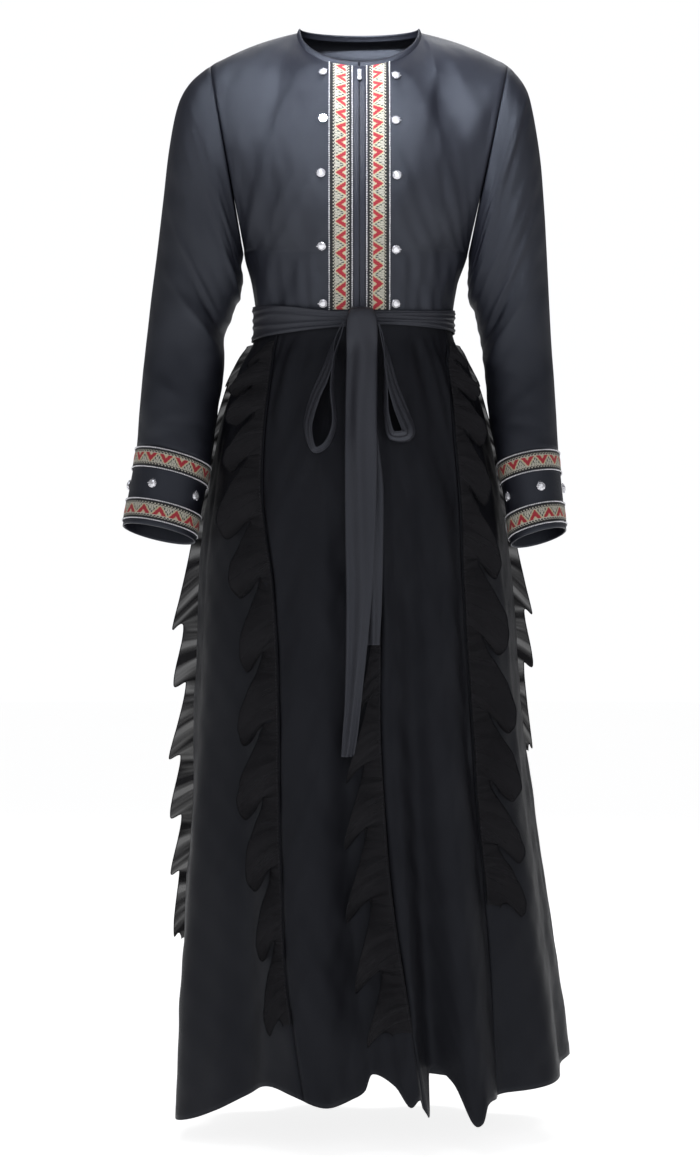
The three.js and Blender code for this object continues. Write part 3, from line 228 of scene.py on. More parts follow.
def panel(top, bottom, start, end, u, v):
    """A panel filled in between its four edges; the top edge's shape fades out downwards."""
    zero, one = np.zeros_like(u), np.ones_like(u)
    a, b = u[..., None], ((1 - v) ** NECK_FADE)[..., None]
    points = start(v) * (1 - a) + end(v) * a
    points += (top(u) - (start(zero) * (1 - a) + end(zero) * a)) * b
    return points + (bottom(u) - (start(one) * (1 - a) + end(one) * a)) * (1 - b)


def front_panel(side, u, v):
    sign = SIDES[side]

    def top(at):
        neck_turn = sign * (90 + 90 * (at - SHOULDER_SHARE) / (1 - SHOULDER_SHARE))
        over = shoulder(side, np.minimum(at / SHOULDER_SHARE, 1))
        return np.where((at < SHOULDER_SHARE)[..., None], over, neck_ring(neck_turn))

    return panel(
        top,
        lambda at: torso(90 * sign * (1 - at), np.full_like(at, WAIST)),
        lambda at: side_edge(side, at, -ARMHOLE["out"]),
        lambda at: torso(np.zeros_like(at), mixed(NECK["front_down"], WAIST, at)),
        u,
        v,
    )


def back_panel(u, v):
    def top(at):
        from_middle = np.abs(2 * at - 1)
        share = np.clip((1 - from_middle) / SHOULDER_SHARE, 0, 1)
        over = np.where((at < 0.5)[..., None], shoulder("right", share), shoulder("left", share))
        neck = neck_ring(180 * (at - 0.5) / BACK_NECK_SHARE)
        return np.where((from_middle > BACK_NECK_SHARE)[..., None], over, neck)

    def sheet(u, v):
        return panel(
            top,
            lambda at: torso(np.where(at < 0.5, -90 - 180 * at, 270 - 180 * at), WAIST + 0 * at),
            lambda at: side_edge("right", at, ARMHOLE["out"]),
            lambda at: side_edge("left", at, ARMHOLE["out"]),
            u,
            v,
        )

    points, middle = sheet(u, v), sheet(np.full_like(u, 0.5), v)
    wanted = row_at(TORSO, -middle[..., 2])[3]
    share = np.sin(np.pi * u) ** 1.5 * smooth(0, 0.12, v) * (1 - smooth(0.85, 1, v))
    points[..., 1] += (wanted - middle[..., 1]) * share
    return points


def sleeve(side, angle, number):
    """A point of a sleeve: its angle runs from the outer side (0) over the front (90)."""
    outer, outer_down, inner, inner_down, middle, half, lift = row_at(SLEEVES[side], number)
    turn = np.radians(angle)
    c, s = np.cos(turn), np.sin(turn)
    arm = xyz((outer - inner) / 2 * c, -half * s, (inner_down - outer_down) / 2 * c + lift * s)
    radial = arm / np.linalg.norm(arm, axis=-1, keepdims=True)
    fold = 0
    for row, at, length, width, out, slant in SLEEVE_FOLDS:
        along = (number - row) / length
        fold = fold + out * bell(along, 1) * bell(around(angle - at - slant * along), width)
    centre = xyz((outer + inner) / 2, middle, -(outer_down + inner_down) / 2)
    points = centre + arm + radial * (fold * smooth(0, 1.5, number))[..., None]
    points[..., 0] *= SIDES[side]
    return points


def skirt(angle, down):
    """A point of the skirt, with its deep folds and the gathers under the sash."""
    down = np.asarray(down, float)
    share = np.clip((down - WAIST) / (HEM_DOWN - WAIST), 0, 1)
    out = 0
    for at_waist, at_hem, width, reach, begins in SKIRT_FOLDS:
        growth = np.maximum(share - begins, 0) / (1 - begins)
        away = around(angle - mixed(at_waist, at_hem, share))
        out = out + reach * growth * bell(away, width)
    gathered = smooth(402, 425, down) * (1 - smooth(425, 600, down))
    out = out + 2.4 * gathered * np.sin(np.radians(18 * angle))
    return torso(angle, down) + outward(angle) * np.asarray(out)[..., None]


def angle_at(x, down):
    right, left = row_at(TORSO, down)[:2]
    return np.degrees(np.arcsin(np.clip(x / np.where(x < 0, right, left), -1, 1)))


def seam_angle(name, down):
    """Where a seam of the skirt lies, as an angle at each height."""
    fixed = {"side_right": -SIDE_SEAM, "side_left": SIDE_SEAM, "side_behind": 360 - SIDE_SEAM}
    if name in fixed:
        return np.full_like(np.asarray(down, float), fixed[name])
    return angle_at(row_at(FRONT_SEAMS, down)[SEAM_COLUMNS[name]], down)


def hem_down(angle):
    return row_at(HEM, np.where(angle > 180, angle - 360, angle))[0]


def before_skirt(x, down, off):
    """Points at a distance x from the centre line that stand off the front of the skirt."""
    angle = angle_at(x, down)
    points = skirt(angle, down) + outward(angle) * np.asarray(off, float)[..., None]
    points[..., 0] = x
    return points


# ------------------------------------------------------------------ materials
COOL_SHINE = (0.80, 0.87, 1.0, 1)


class Nodes:
    """A material's node tree, with short ways to add and join nodes."""

    def __init__(self, name):
        self.material = bpy.data.materials.new(name)
        self.material.use_nodes = True
        self.tree = self.material.node_tree
        self.shader = self.tree.nodes["Principled BSDF"]

    def add(self, kind, operation=None, **inputs):
        node = self.tree.nodes.new(kind)
        if operation:
            node.operation = operation
        for name, value in inputs.items():
            key = int(name[1:]) if name[0] == "i" and name[1:].isdigit() else name.replace("_", " ")
            if isinstance(value, bpy.types.NodeSocket):
                self.tree.links.new(value, node.inputs[key])
            else:
                node.inputs[key].default_value = value
        return node

    def math(self, operation, a, b=0.0):
        return self.add("ShaderNodeMath", operation, i0=a, i1=b).outputs[0]

    def noise(self, vector, scale, detail=2.0, roughness=0.5):
        node = self.add("ShaderNodeTexNoise", Vector=vector, Scale=scale, Detail=detail)
        node.inputs["Roughness"].default_value = roughness
        return node.outputs[0]

    def between(self, low, high, factor):
        ramp = self.add("ShaderNodeMix")
        ramp.data_type = "RGBA"
        self.tree.links.new(factor, ramp.inputs[0])
        for socket, colour in ((ramp.inputs[6], low), (ramp.inputs[7], high)):
            if isinstance(colour, bpy.types.NodeSocket):
                self.tree.links.new(colour, socket)
            else:
                socket.default_value = (*colour, 1)
        return ramp.outputs[2]

    def spread(self, value, low, high, to_low, to_high):
        node = self.add("ShaderNodeMapRange", Value=value)
        for key, number in zip(("From Min", "From Max", "To Min", "To Max"), (low, high, to_low, to_high)):
            node.inputs[key].default_value = number
        return node.outputs[0]

    def bump(self, *layers):
        """Relief from (height, distance in metres) layers, the first one lowest."""
        normal = None
        for height, distance in layers:
            node = self.add("ShaderNodeBump", Height=height, Distance=distance, Strength=1.0)
            if normal:
                self.tree.links.new(normal, node.inputs["Normal"])
            normal = node.outputs[0]
        self.tree.links.new(normal, self.shader.inputs["Normal"])

    def set(self, **values):
        for name, value in values.items():
            socket = self.shader.inputs[name.replace("_", " ")]
            if isinstance(value, bpy.types.NodeSocket):
                self.tree.links.new(value, socket)
            else:
                socket.default_value = value
        return self

    def uv(self):
        return self.add("ShaderNodeUVMap").outputs[0]

    def place(self):
        return self.add("ShaderNodeTexCoord").outputs["Object"]

    def stretched(self, scale):
        """The cloth's own measure, scaled differently across and along."""
        return self.add("ShaderNodeMapping", Vector=self.uv(), Scale=scale).outputs[0]

    def weave(self, warp, weft):
        """Crossing threads from the cloth's own measure, in threads a metre."""
        split = self.add("ShaderNodeSeparateXYZ", Vector=self.uv())
        waves = []
        for axis, count in ((0, warp), (1, weft)):
            turned = self.math("MULTIPLY", split.outputs[axis], count * math.tau)
            waves.append(self.math("SINE", turned))
        return self.math("MULTIPLY", *waves), waves


def crepe(name, dark, light, roughness, shine):
    """Pebbled crepe between two colours; `shine` is how strongly it reflects."""
    n = Nodes(name)
    threads, _ = n.weave(1450, 1300)
    place = n.place()
    pebble = n.noise(place, 900, 2)
    soft = n.noise(place, 9, 3)
    slub = n.noise(n.stretched((90, 1500, 1)), 1, 2)
    shade = n.math("ADD", n.math("MULTIPLY", soft, 0.7), n.math("MULTIPLY", slub, 0.3))
    n.set(Base_Color=n.between(dark, light, n.spread(shade, 0.3, 0.7, 0, 1)))
    n.set(Roughness=n.spread(pebble, 0.3, 0.7, roughness - 0.06, roughness + 0.06))
    n.set(Sheen_Roughness=0.4, Specular_IOR_Level=shine, Specular_Tint=COOL_SHINE)
    n.bump((soft, 0.0012), (slub, 0.00012), (pebble, 0.00014), (threads, 0.00006))
    return n.material


def chiffon_material(name, thin, thick):
    """Crinkled chiffon whose cover runs from `thin` to `thick` over its folds."""
    n = Nodes(name)
    threads, _ = n.weave(1900, 1900)
    place = n.place()
    crinkle = n.noise(n.stretched((700, 240, 1)), 1, 3)
    cloud = n.noise(place, 22, 3)
    n.set(Base_Color=n.between((0.0110, 0.0108, 0.0125), (0.0210, 0.0205, 0.0230), cloud))
    n.set(Roughness=0.8, Specular_IOR_Level=0.06)
    folds = n.noise(n.stretched((6, 55, 1)), 1, 2)
    n.set(Alpha=n.spread(folds, 0.38, 0.62, thin, thick))
    n.bump((cloud, 0.0008), (crinkle, 0.00022), (threads, 0.00005))
    return n.material


def rolled_edge_material():
    n = Nodes("rolled_edge")
    twist = n.noise(n.place(), 1400, 2)
    n.set(Base_Color=n.between((0.003, 0.003, 0.004), (0.010, 0.010, 0.013), twist), Roughness=0.7,
          Specular_IOR_Level=0.1)
    n.bump((twist, 0.0002))
    return n.material


def satin_material():
    n = Nodes("satin")
    threads, _ = n.weave(2200, 900)
    soft = n.noise(n.place(), 40, 2)
    n.set(Base_Color=n.between((0.008, 0.010, 0.020), (0.018, 0.022, 0.042), soft))
    n.set(Roughness=0.42, Sheen_Weight=0.2, Specular_IOR_Level=0.5)
    n.bump((soft, 0.0004), (threads, 0.00005))
    return n.material


def ribbon_material():
    n = Nodes("ribbon")
    chart = n.add("ShaderNodeVertexColor")
    chart.layer_name = "Chart"
    _, (across, along) = n.weave(1170, 1170)
    thread = n.math("ADD", n.math("MULTIPLY", across, 0.5), n.math("MULTIPLY", along, 0.35))
    fuzz = n.noise(n.place(), 1600, 2)
    # painted shade where the threads dip and painted highlight on their tops, multiplied into the chart's
    # colours
    shade = n.between((0.62, 0.6, 0.6), (1.12, 1.12, 1.12), n.spread(thread, -0.85, 0.85, 0, 1))
    mix = n.add("ShaderNodeMix")
    mix.data_type, mix.blend_type = "RGBA", "MULTIPLY"
    mix.inputs[0].default_value = 1
    n.tree.links.new(chart.outputs[0], mix.inputs[6])
    n.tree.links.new(shade, mix.inputs[7])
    n.set(Base_Color=mix.outputs[2], Roughness=n.spread(fuzz, 0.3, 0.7, 0.5, 0.72))
    n.set(Sheen_Weight=0.15, Sheen_Roughness=0.4)
    n.bump((fuzz, 0.0001), (thread, 0.00012))
    return n.material


def shiny(name, low, high, roughness, metallic, scale, depth, **more):
    n = Nodes(name)
    marks = n.noise(n.place(), scale, 3)
    n.set(Base_Color=n.between(low, high, marks), Metallic=metallic)
    n.set(Roughness=n.spread(marks, 0.3, 0.7, roughness * 0.7, roughness * 1.4), **more)
    n.bump((marks, depth))
    return n.material


CREPE = crepe("crepe", (0.0062, 0.0064, 0.0112), (0.0095, 0.0098, 0.0160), 0.44, 0.72)
# the skirt's crepe is a darker, duller copy of the bodice's crepe: painted shade for the skirt, which hangs
# below the light
SKIRT_CREPE_PAINTED_SHADE = crepe("skirt_crepe_painted_shade", (0.0038, 0.0035, 0.0052), (0.0060, 0.0056, 0.0078), 0.47, 0.27)
# the sash's crepe is a lighter copy of the same cloth: painted sheen for its satin-like look
SASH_CREPE_PAINTED_SHEEN = crepe("sash_crepe_painted_sheen", (0.017, 0.0168, 0.0215), (0.025, 0.0246, 0.031), 0.44, 0.62)
CHIFFON = chiffon_material("chiffon", 0.66, 0.95)
DOUBLED = chiffon_material("doubled_chiffon", 0.90, 0.98)
ROLLED = rolled_edge_material()
SATIN = satin_material()
RIBBON = ribbon_material()
BEAD = shiny("bead", (0.72, 0.71, 0.76), (0.95, 0.95, 0.98), 0.22, 0.35, 500, 0.00006, Coat_Weight=0.4)
GLASS = shiny("gem_stone", (0.80, 0.80, 0.86), (0.97, 0.97, 1.0), 0.08, 0.55, 260, 0.00003, Coat_Weight=0.8)
SILVER = shiny("gem_rim", (0.55, 0.55, 0.60), (0.82, 0.82, 0.86), 0.2, 0.9, 700, 0.00003)
CHROME = shiny("chrome", (0.72, 0.72, 0.76), (0.90, 0.90, 0.94), 0.3, 0.8, 900, 0.00002)
THREAD = shiny("thread", (0.010, 0.010, 0.016), (0.022, 0.023, 0.032), 0.6, 0.0, 2500, 0.00008)


# ------------------------------------------------------------------ meshes
def mesh_piece(name, points, faces, materials, uvs=None, faces_material=None, flat=False):
    """One mesh of the garment from points in millimetres, and uvs for each of its points."""
    mesh = bpy.data.meshes.new(name)
    points = np.asarray(points, float) * MM
    faces = np.asarray(faces)
    mesh.vertices.add(len(points))
    mesh.vertices.foreach_set("co", points.ravel())
    sides = faces.shape[1]
    mesh.loops.add(faces.size)
    mesh.loops.foreach_set("vertex_index", faces.ravel().astype(np.int32))
    mesh.polygons.add(len(faces))
    mesh.polygons.foreach_set("loop_start", np.arange(0, faces.size, sides, dtype=np.int32))
    mesh.polygons.foreach_set("use_smooth", np.full(len(faces), not flat))
    if uvs is not None:
        layer = mesh.uv_layers.new(name="UVMap")
        layer.data.foreach_set("uv", (np.asarray(uvs) * MM)[faces.ravel()].ravel())
    for material in materials:
        mesh.materials.append(material)
    if faces_material is not None:
        mesh.polygons.foreach_set("material_index", np.asarray(faces_material, np.int32))
    mesh.update(calc_edges=True)
    mesh.validate()
    piece = bpy.data.objects.new(name, mesh)
    bpy.context.scene.collection.objects.link(piece)
    return piece


def normals_of(points, closed):
    """The direction square to a grid of points, which faces away from the wearer or is turned to."""
    if closed:
        wide = np.concatenate([points[:, -2:-1], points, points[:, 1:2]], axis=1)
        across = wide[:, 2:] - wide[:, :-2]
    else:
        across = np.gradient(points, axis=1)
    along = np.gradient(points, axis=0)
    normal = np.cross(across, along)
    return normal / np.maximum(np.linalg.norm(normal, axis=-1, keepdims=True), 1e-9)


def measure(points):
    """The distance along the cloth at each point of a grid, across and along it."""
    def run(step):
        return np.concatenate([[0], np.cumsum(step)])

    across = np.linalg.norm(np.diff(points, axis=1), axis=-1).mean(axis=0)
    along = np.linalg.norm(np.diff(points, axis=0), axis=-1).mean(axis=1)
    return np.stack(np.meshgrid(run(across), run(along)), axis=-1)


def grid_faces(rows, columns, first=0):
    index = first + np.arange((rows + 1) * (columns + 1)).reshape(rows + 1, columns + 1)
    a, b, c, d = index[:-1, :-1], index[:-1, 1:], index[1:, 1:], index[1:, :-1]
    return np.stack([a, b, c, d], axis=-1).reshape(-1, 4), index


def wall(points, thickness, outside, closed=False):
    """Points, faces and uvs of a closed cloth wall under a grid of its outer face. `outside` is
    +1 or -1, the side of the grid's own normal that faces out; thickness may be a grid."""
    rows, columns = points.shape[0] - 1, points.shape[1] - 1
    normal = normals_of(points, closed) * outside
    inner = points - normal * np.asarray(thickness, float)[..., None]
    uv = measure(points).reshape(-1, 2)
    front, index = grid_faces(rows, columns)
    back = front[:, ::-1] + index.size
    rims = []
    lines = [index[0], index[-1][::-1]]
    if not closed:
        lines += [index[::-1, 0], index[:, -1]]
    for line in lines:
        a, b = line[:-1], line[1:]
        rims.append(np.stack([b, a, a + index.size, b + index.size], axis=-1))
    faces = np.concatenate([front, back, *rims])
    if outside < 0:
        faces = faces[:, ::-1]
    return np.concatenate([points.reshape(-1, 3), inner.reshape(-1, 3)]), faces, np.concatenate([uv, uv])


def welded(points, faces, uvs):
    """Joins points of a closed ring that fall on the same place; uvs follow the first of them."""
    keys = np.round(points, 3)
    _, first, back = np.unique(keys, axis=0, return_index=True, return_inverse=True)
    return points[first], back.ravel()[faces], uvs[first]


def tube(path, radius, sides=6):
    """A thin closed tube along a line of points."""
    path = np.asarray(path, float)
    tangent = np.gradient(path, axis=0)
    tangent /= np.maximum(np.linalg.norm(tangent, axis=-1, keepdims=True), 1e-9)
    helper = np.array([0.31, 0.87, 0.38])
    side = np.cross(tangent, helper)
    side /= np.maximum(np.linalg.norm(side, axis=-1, keepdims=True), 1e-9)
    up = np.cross(tangent, side)
    turn = np.linspace(0, math.tau, sides, endpoint=False)
    radius = np.broadcast_to(np.asarray(radius, float), len(path))[:, None, None]
    ring = side[:, None] * np.cos(turn)[None, :, None] + up[:, None] * np.sin(turn)[None, :, None]
    points = path[:, None] + ring * radius
    index = np.arange(len(path) * sides).reshape(len(path), sides)
    a, b = index[:-1], index[1:]
    faces = np.stack([a, np.roll(a, -1, 1), np.roll(b, -1, 1), b], axis=-1).reshape(-1, 4)
    caps = []
    for ring_index, order in ((index[0], -1), (index[-1], 1)):
        for start in range(1, sides - 2, 2):
            corners = [ring_index[0], ring_index[start], ring_index[start + 1], ring_index[start + 2]]
            caps.append(corners[::order])
    return points.reshape(-1, 3), np.concatenate([faces, np.array(caps)])


def joined(*parts):
    """One list of points and faces from several, each with its material's number."""
    points, faces, numbers, count = [], [], [], 0
    for part_points, part_faces, number in parts:
        points.append(part_points)
        faces.append(part_faces + count)
        numbers.append(np.full(len(part_faces), number))
        count += len(part_points)
    return np.concatenate(points), np.concatenate(faces), np.concatenate(numbers)


def belongs(piece, slot, *nodes):
    """Puts a piece on the garment's body, in the place of the solids' nodes; its slot is not used."""
    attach(piece, "garment")
    if nodes:
        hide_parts(*nodes)
    return piece


def ripple(shape, seed, sizes):
    """Gentle unevenness over a grid: sums of waves of the given sizes (across, along, height)."""
    source = np.random.default_rng(seed)
    across, along = np.meshgrid(np.linspace(0, 1, shape[1]), np.linspace(0, 1, shape[0]))
    total = np.zeros(shape)
    for waves_across, waves_along, height in sizes:
        for _ in range(4):
            fx = waves_across * source.uniform(0.6, 1.4)
            fy = waves_along * source.uniform(0.6, 1.4) * source.choice([-1, 1])
            phase = source.uniform(0, math.tau)
            total += height / 2 * np.sin(math.tau * (fx * across + fy * along) + phase)
    return total


# ------------------------------------------------------------------ the cloth of the garment
def grid(columns, rows):
    """Shares across and along a piece of cloth, from 0 to 1."""
    return np.meshgrid(np.linspace(0, 1, columns + 1), np.linspace(0, 1, rows + 1))


def outside_of(points, closed=False):
    """+1 or -1: the side of a grid's normal that faces away from the wearer."""
    normal = normals_of(points, closed)
    middle = points.reshape(-1, 3).mean(axis=0) if closed else np.array([0, 0, 0])
    away = points - middle
    away[..., 2] = 0
    return 1 if (normal * away).sum() > 0 else -1


def raised(points, height, closed=False):
    """A grid moved outwards by a height at each of its points."""
    side = outside_of(points, closed)
    return points + normals_of(points, closed) * side * np.asarray(height, float)[..., None]


def creases(points, lines):
    """Soft folds as heights: (x, down, x, down, half width, height) along straight lines."""
    total = np.zeros(points.shape[:2])
    place = np.stack([points[..., 0], -points[..., 2]], axis=-1)
    for x1, d1, x2, d2, width, height in lines:
        start, along = np.array([x1, d1], float), np.array([x2 - x1, d2 - d1], float)
        length = np.linalg.norm(along)
        t = ((place - start) @ along) / length**2
        away = np.abs(np.cross(along / length, place - start))
        total += height * bell(away, width) * smooth(-0.15, 0.25, t) * (1 - smooth(0.75, 1.15, t))
    return total


def seam_dip(u, v, points, edges):
    """The dip beside a seam at the edges of a panel: 's' start, 'e' end, 't' top, 'b' bottom."""
    size = measure(points)
    wide, tall = size[..., 0].max(), size[..., 1].max()
    away = {"s": u * wide, "e": (1 - u) * wide, "t": v * tall, "b": (1 - v) * tall}
    return -sum(1.1 * bell(away[edge], 2.6) - 0.35 * bell(away[edge] - 6, 2.2) for edge in edges)


def cloth_piece(name, slot, nodes, points, material, thickness,
                closed=False, extra=()):
    """A closed wall of cloth under a grid, with further (points, faces, material) on it."""
    solid = wall(points, thickness, outside_of(points, closed), closed)
    if closed:
        solid = welded(*solid)
    parts = [(solid[0], solid[1], 0)]
    materials, uvs = [material], [solid[2]]
    for number, (more_points, more_faces, more_material) in enumerate(extra, 1):
        parts.append((more_points, more_faces, number))
        materials.append(more_material)
        uvs.append(more_points[:, [0, 2]])
    made, faces, numbers = joined(*parts)
    piece = mesh_piece(name, made, faces, materials, np.concatenate(uvs), numbers)
    belongs(piece, slot, *nodes)
    return piece


def run_along(line):
    """The distance along a line of points at each of them."""
    return np.concatenate([[0], np.cumsum(np.linalg.norm(np.diff(line, axis=0), axis=1))])


def between_points(at, step, values):
    """Rows of values at distances along a line, where step is the distance of each row."""
    return np.stack([np.interp(at, step, values[:, axis]) for axis in range(values.shape[1])], axis=-1)


def stitches(line, normal, pitch=4.2, length=2.4, radius=0.24, lift=0.3):
    """Short raised threads along a line of points, one beside the other."""
    step = run_along(line)
    parts = []
    for start in np.arange(pitch, step[-1] - pitch, pitch):
        at = np.array([start, start + length / 2, start + length])
        path, out = between_points(at, step, line), between_points(at, step, normal)
        points, faces = tube(path + out * np.array([-0.1, lift, -0.1])[:, None], radius, 4)
        parts.append((points, faces, 0))
    return joined(*parts)[:2]


def body_wall(points, height, edges, u, v):
    """A panel's outer face: its points raised by a height, with dips beside its seams."""
    return raised(points, height + seam_dip(u, v, points, edges))


CLOTH = 1.1
FRONT_CREASES = {
    "right": [
        (-58, 372, -62, 300, 5, 1.6), (-72, 374, -80, 305, 5, 1.5), (-90, 374, -101, 300, 6, 1.8),
        (-108, 372, -119, 310, 5, 1.6), (-124, 370, -136, 320, 6, 2.0), (-136, 296, -96, 214, 10, 2.0),
        (-146, 272, -112, 176, 12, 1.6), (-60, 90, -118, 190, 24, 1.4), (-96, 60, -140, 150, 16, -1.6),
        (-50, 360, -55, 318, 4, 1.2), (-82, 205, -60, 330, 14, -1.6),
    ],
    "left": [
        (56, 372, 58, 302, 5, 1.6), (70, 374, 76, 308, 5, 1.4), (86, 374, 95, 300, 6, 1.8),
        (102, 372, 112, 312, 5, 1.6), (114, 370, 126, 322, 6, 1.8), (128, 300, 92, 222, 10, 2.0),
        (138, 276, 108, 186, 12, 1.6), (66, 96, 122, 186, 22, 1.2), (92, 60, 134, 148, 16, -1.6),
        (50, 362, 51, 320, 4, 1.0), (78, 210, 62, 330, 14, -1.4),
    ],
}


def evened(depth, spread):
    """Depths smoothed across a panel, unchanged at its two edges."""
    reach = np.arange(-3 * spread, 3 * spread + 1)
    kernel = bell(reach, 1.4 * spread)
    kernel /= kernel.sum()
    wide = np.pad(depth, ((0, 0), (3 * spread, 3 * spread)), mode="reflect", reflect_type="odd")
    return np.stack([np.convolve(row, kernel, mode="valid") for row in wide])


front_grids = {}
for side, sign in SIDES.items():
    u, v = grid(64, 110)
    base = front_panel(side, u, v)
    base[..., 1] = mixed(base[..., 1], evened(base[..., 1], 8), smooth(0.02, 0.2, v))
    folds = creases(base, FRONT_CREASES[side]) * smooth(0, 0.1, u) * (1 - smooth(0.8, 0.97, u))
    calm = smooth(0, 0.08, u) * (1 - smooth(0.86, 0.98, u)) * smooth(0, 0.06, v)
    height = folds + ripple(u.shape, 11 + sign, [(2.4, 3.0, 0.9), (6, 5, 0.35)]) * calm - 0.15
    points = body_wall(base, height, "s", u, v)
    front_grids[side] = (u, v, points)


def on_front(side, x, v_line):
    """Points of the front at a distance from the centre line, for each share of its length, and
    the direction that the cloth faces there."""
    u, v, points = front_grids[side]
    normal = normals_of(points, False) * outside_of(points)
    rows = v[:, 0]
    place, facing = np.empty((len(v_line), 3)), np.empty((len(v_line), 3))
    for i, share in enumerate(v_line):
        k = min(int(share * (len(rows) - 1)), len(rows) - 2)
        t = share * (len(rows) - 1) - k
        line, square = mixed(points[k], points[k + 1], t), mixed(normal[k], normal[k + 1], t)
        order = np.argsort(np.abs(line[:, 0]))
        for axis in range(3):
            place[i, axis] = np.interp(abs(x), np.abs(line[order, 0]), line[order, axis])
            facing[i, axis] = np.interp(abs(x), np.abs(line[order, 0]), square[order, axis])
    facing[:, 0] = 0
    return place, facing / np.linalg.norm(facing, axis=-1, keepdims=True)


# The ribbon's chart, one repeat: how far each cell lies from the chevron's edge decides its thread.
CREAM, PALE = (0.64, 0.56, 0.34), (0.60, 0.58, 0.49)
RED, DEEP_RED = (0.52, 0.026, 0.046), (0.38, 0.016, 0.030)
GREEN, BLACK = (0.022, 0.042, 0.028), (0.006, 0.006, 0.008)
CELL = 0.84
BRAID = 2.5
CHART_WIDTH, CHART_MARGIN = 26.0, 0.4
# from and to across the ribbon: the pale strip on each side and the dots on it
TIP_STRIP, TIP_DOTS = (2.6, 6.6), (2.3, 5.8)
OPEN_STRIP, OPEN_DOTS = (18.9, 22.8), (19.4, 22.8)
CHEVRON_START, CHEVRON_WIDTH, CHEVRON_SLOPE = 6.0, 12.9, 1.15
RED_END, OUTLINE_END = 0.62, 0.80


def chart(across, along, tips):
    """Thread colour and height of cells, from their distance across the ribbon (0 is the side that
    the chevrons point to) and along it, in millimetres, and the number of chevrons before them."""
    count = np.round(across / CELL).astype(int), np.round(along / CELL).astype(int)
    dots = (count[1] + count[0] // 2 * 2) % 5 < 3
    sparse = (count[0] % 2 == 0) & (count[1] % 3 == 0)
    colour = np.empty(across.shape + (3,))
    colour[...] = BLACK
    height = np.zeros(across.shape)

    def paint(where, tone, lift):
        colour[where] = tone
        height[where] = lift

    def within(value, low, high):
        return (value >= low) & (value < high)

    paint(within(across, *TIP_STRIP), PALE, 0.12)
    paint(within(across, *TIP_DOTS) & dots, BLACK, 0.04)
    share = (across - CHEVRON_START) / CHEVRON_WIDTH
    field = within(across, CHEVRON_START, CHEVRON_START + CHEVRON_WIDTH)
    from_tip = np.abs(tips % 1 - 0.5) * 2
    away = share - from_tip * CHEVRON_SLOPE
    paint(field, PALE, 0.12)
    paint(field & (away < -0.62) & sparse, GREEN, 0.05)
    paint(field & within(away, -0.50, -0.28) & (count[1] % 3 > 0), GREEN, 0.06)
    paint(field & within(away, -0.20, 0.0), CREAM, 0.16)
    paint(field & within(away, 0.0, RED_END), RED, 0.32)
    paint(field & within(away, 0.0, RED_END) & (count[1] % 3 == 0), DEEP_RED, 0.28)
    paint(field & within(away, RED_END, OUTLINE_END), CREAM, 0.15)
    paint(within(across, *OPEN_STRIP), PALE, 0.12)
    paint(within(across, *OPEN_DOTS) & dots, BLACK, 0.04)
    return colour, height


def ribbon_piece(name, wide, surface, length, pitch, phase, flip_chart, growth=0):
    """A woven ribbon on surface(across, along), both shares in 0-1; each thread crossing is a face
    with its own colour. With growth its chevrons get longer towards the end."""
    inner_width = wide - 2 * BRAID
    columns, rows = int(round(inner_width / CELL)), int(round(length / CELL))
    edge = 0.8 * BRAID / wide
    u, v = np.meshgrid(np.linspace(edge, 1 - edge, columns + 1), np.linspace(0, 1, rows + 1))
    cell_u, cell_v = np.meshgrid((np.arange(columns) + 0.5) / columns, (np.arange(rows) + 0.5) / rows)
    across = cell_u * inner_width
    if flip_chart:
        across = inner_width - across
    grown = np.log1p(growth * cell_v) / math.log1p(growth) if growth else cell_v
    tips = (grown * length + phase) / pitch
    charted = across * CHART_WIDTH / inner_width - CHART_MARGIN
    colour, lift = chart(charted, cell_v * length + phase, tips)
    shade = random.uniform(0.86, 1.12, lift.shape)[..., None]
    colour = np.clip(colour * shade, 0, 1)
    points, normal = surface(u, v)
    padded = np.pad(lift, 1, mode="edge")
    corner = (padded[:-1, :-1] + padded[1:, :-1] + padded[:-1, 1:] + padded[1:, 1:]) / 4
    raised_points = points + normal * (corner + 0.5)[..., None]
    faces, _ = grid_faces(rows, columns)
    corner_place = raised_points[0, 0]
    square = np.cross(raised_points[0, 1] - corner_place, raised_points[1, 0] - corner_place)
    if square @ normal[0, 0] < 0:
        faces = faces[:, ::-1]
    uv = measure(points).reshape(-1, 2)
    piece = mesh_piece(f"{name}_weave", raised_points.reshape(-1, 3), faces, [RIBBON], uv)
    layer = piece.data.color_attributes.new("Chart", "FLOAT_COLOR", "CORNER")
    tone = np.concatenate([colour.reshape(-1, 3), np.ones((rows * columns, 1))], axis=1)
    layer.data.foreach_set("color", np.repeat(tone, 4, axis=0).astype(np.float32).ravel())
    return belongs(piece, "ribbon", name)


def bead_shape():
    """A small round bead as rings of points, one millimetre in radius."""
    lat, turns = np.radians([-90, -38, 10, 52, 90]), 6
    ring = np.arange(turns) / turns * math.tau
    points = [[0, 0, -1]]
    for angle in lat[1:-1]:
        flat, rise = math.cos(angle), math.sin(angle)
        points += [[flat * math.cos(t), flat * math.sin(t), rise] for t in ring]
    points.append([0, 0, 1])
    faces = []
    for level in range(2):
        for k in range(turns):
            a, b = 1 + level * turns + k, 1 + level * turns + (k + 1) % turns
            faces.append([a, b, b + turns, a + turns])
    top = len(points) - 1
    for k in range(0, turns, 2):
        faces.append([0, 1 + (k + 2) % turns, 1 + (k + 1) % turns, 1 + k])
        base = 1 + 2 * turns
        faces.append([top, base + k, base + (k + 1) % turns, base + (k + 2) % turns])
    return np.array(points), np.array(faces)


BEAD_POINTS, BEAD_FACES = bead_shape()
BEAD_PITCH = 2.35


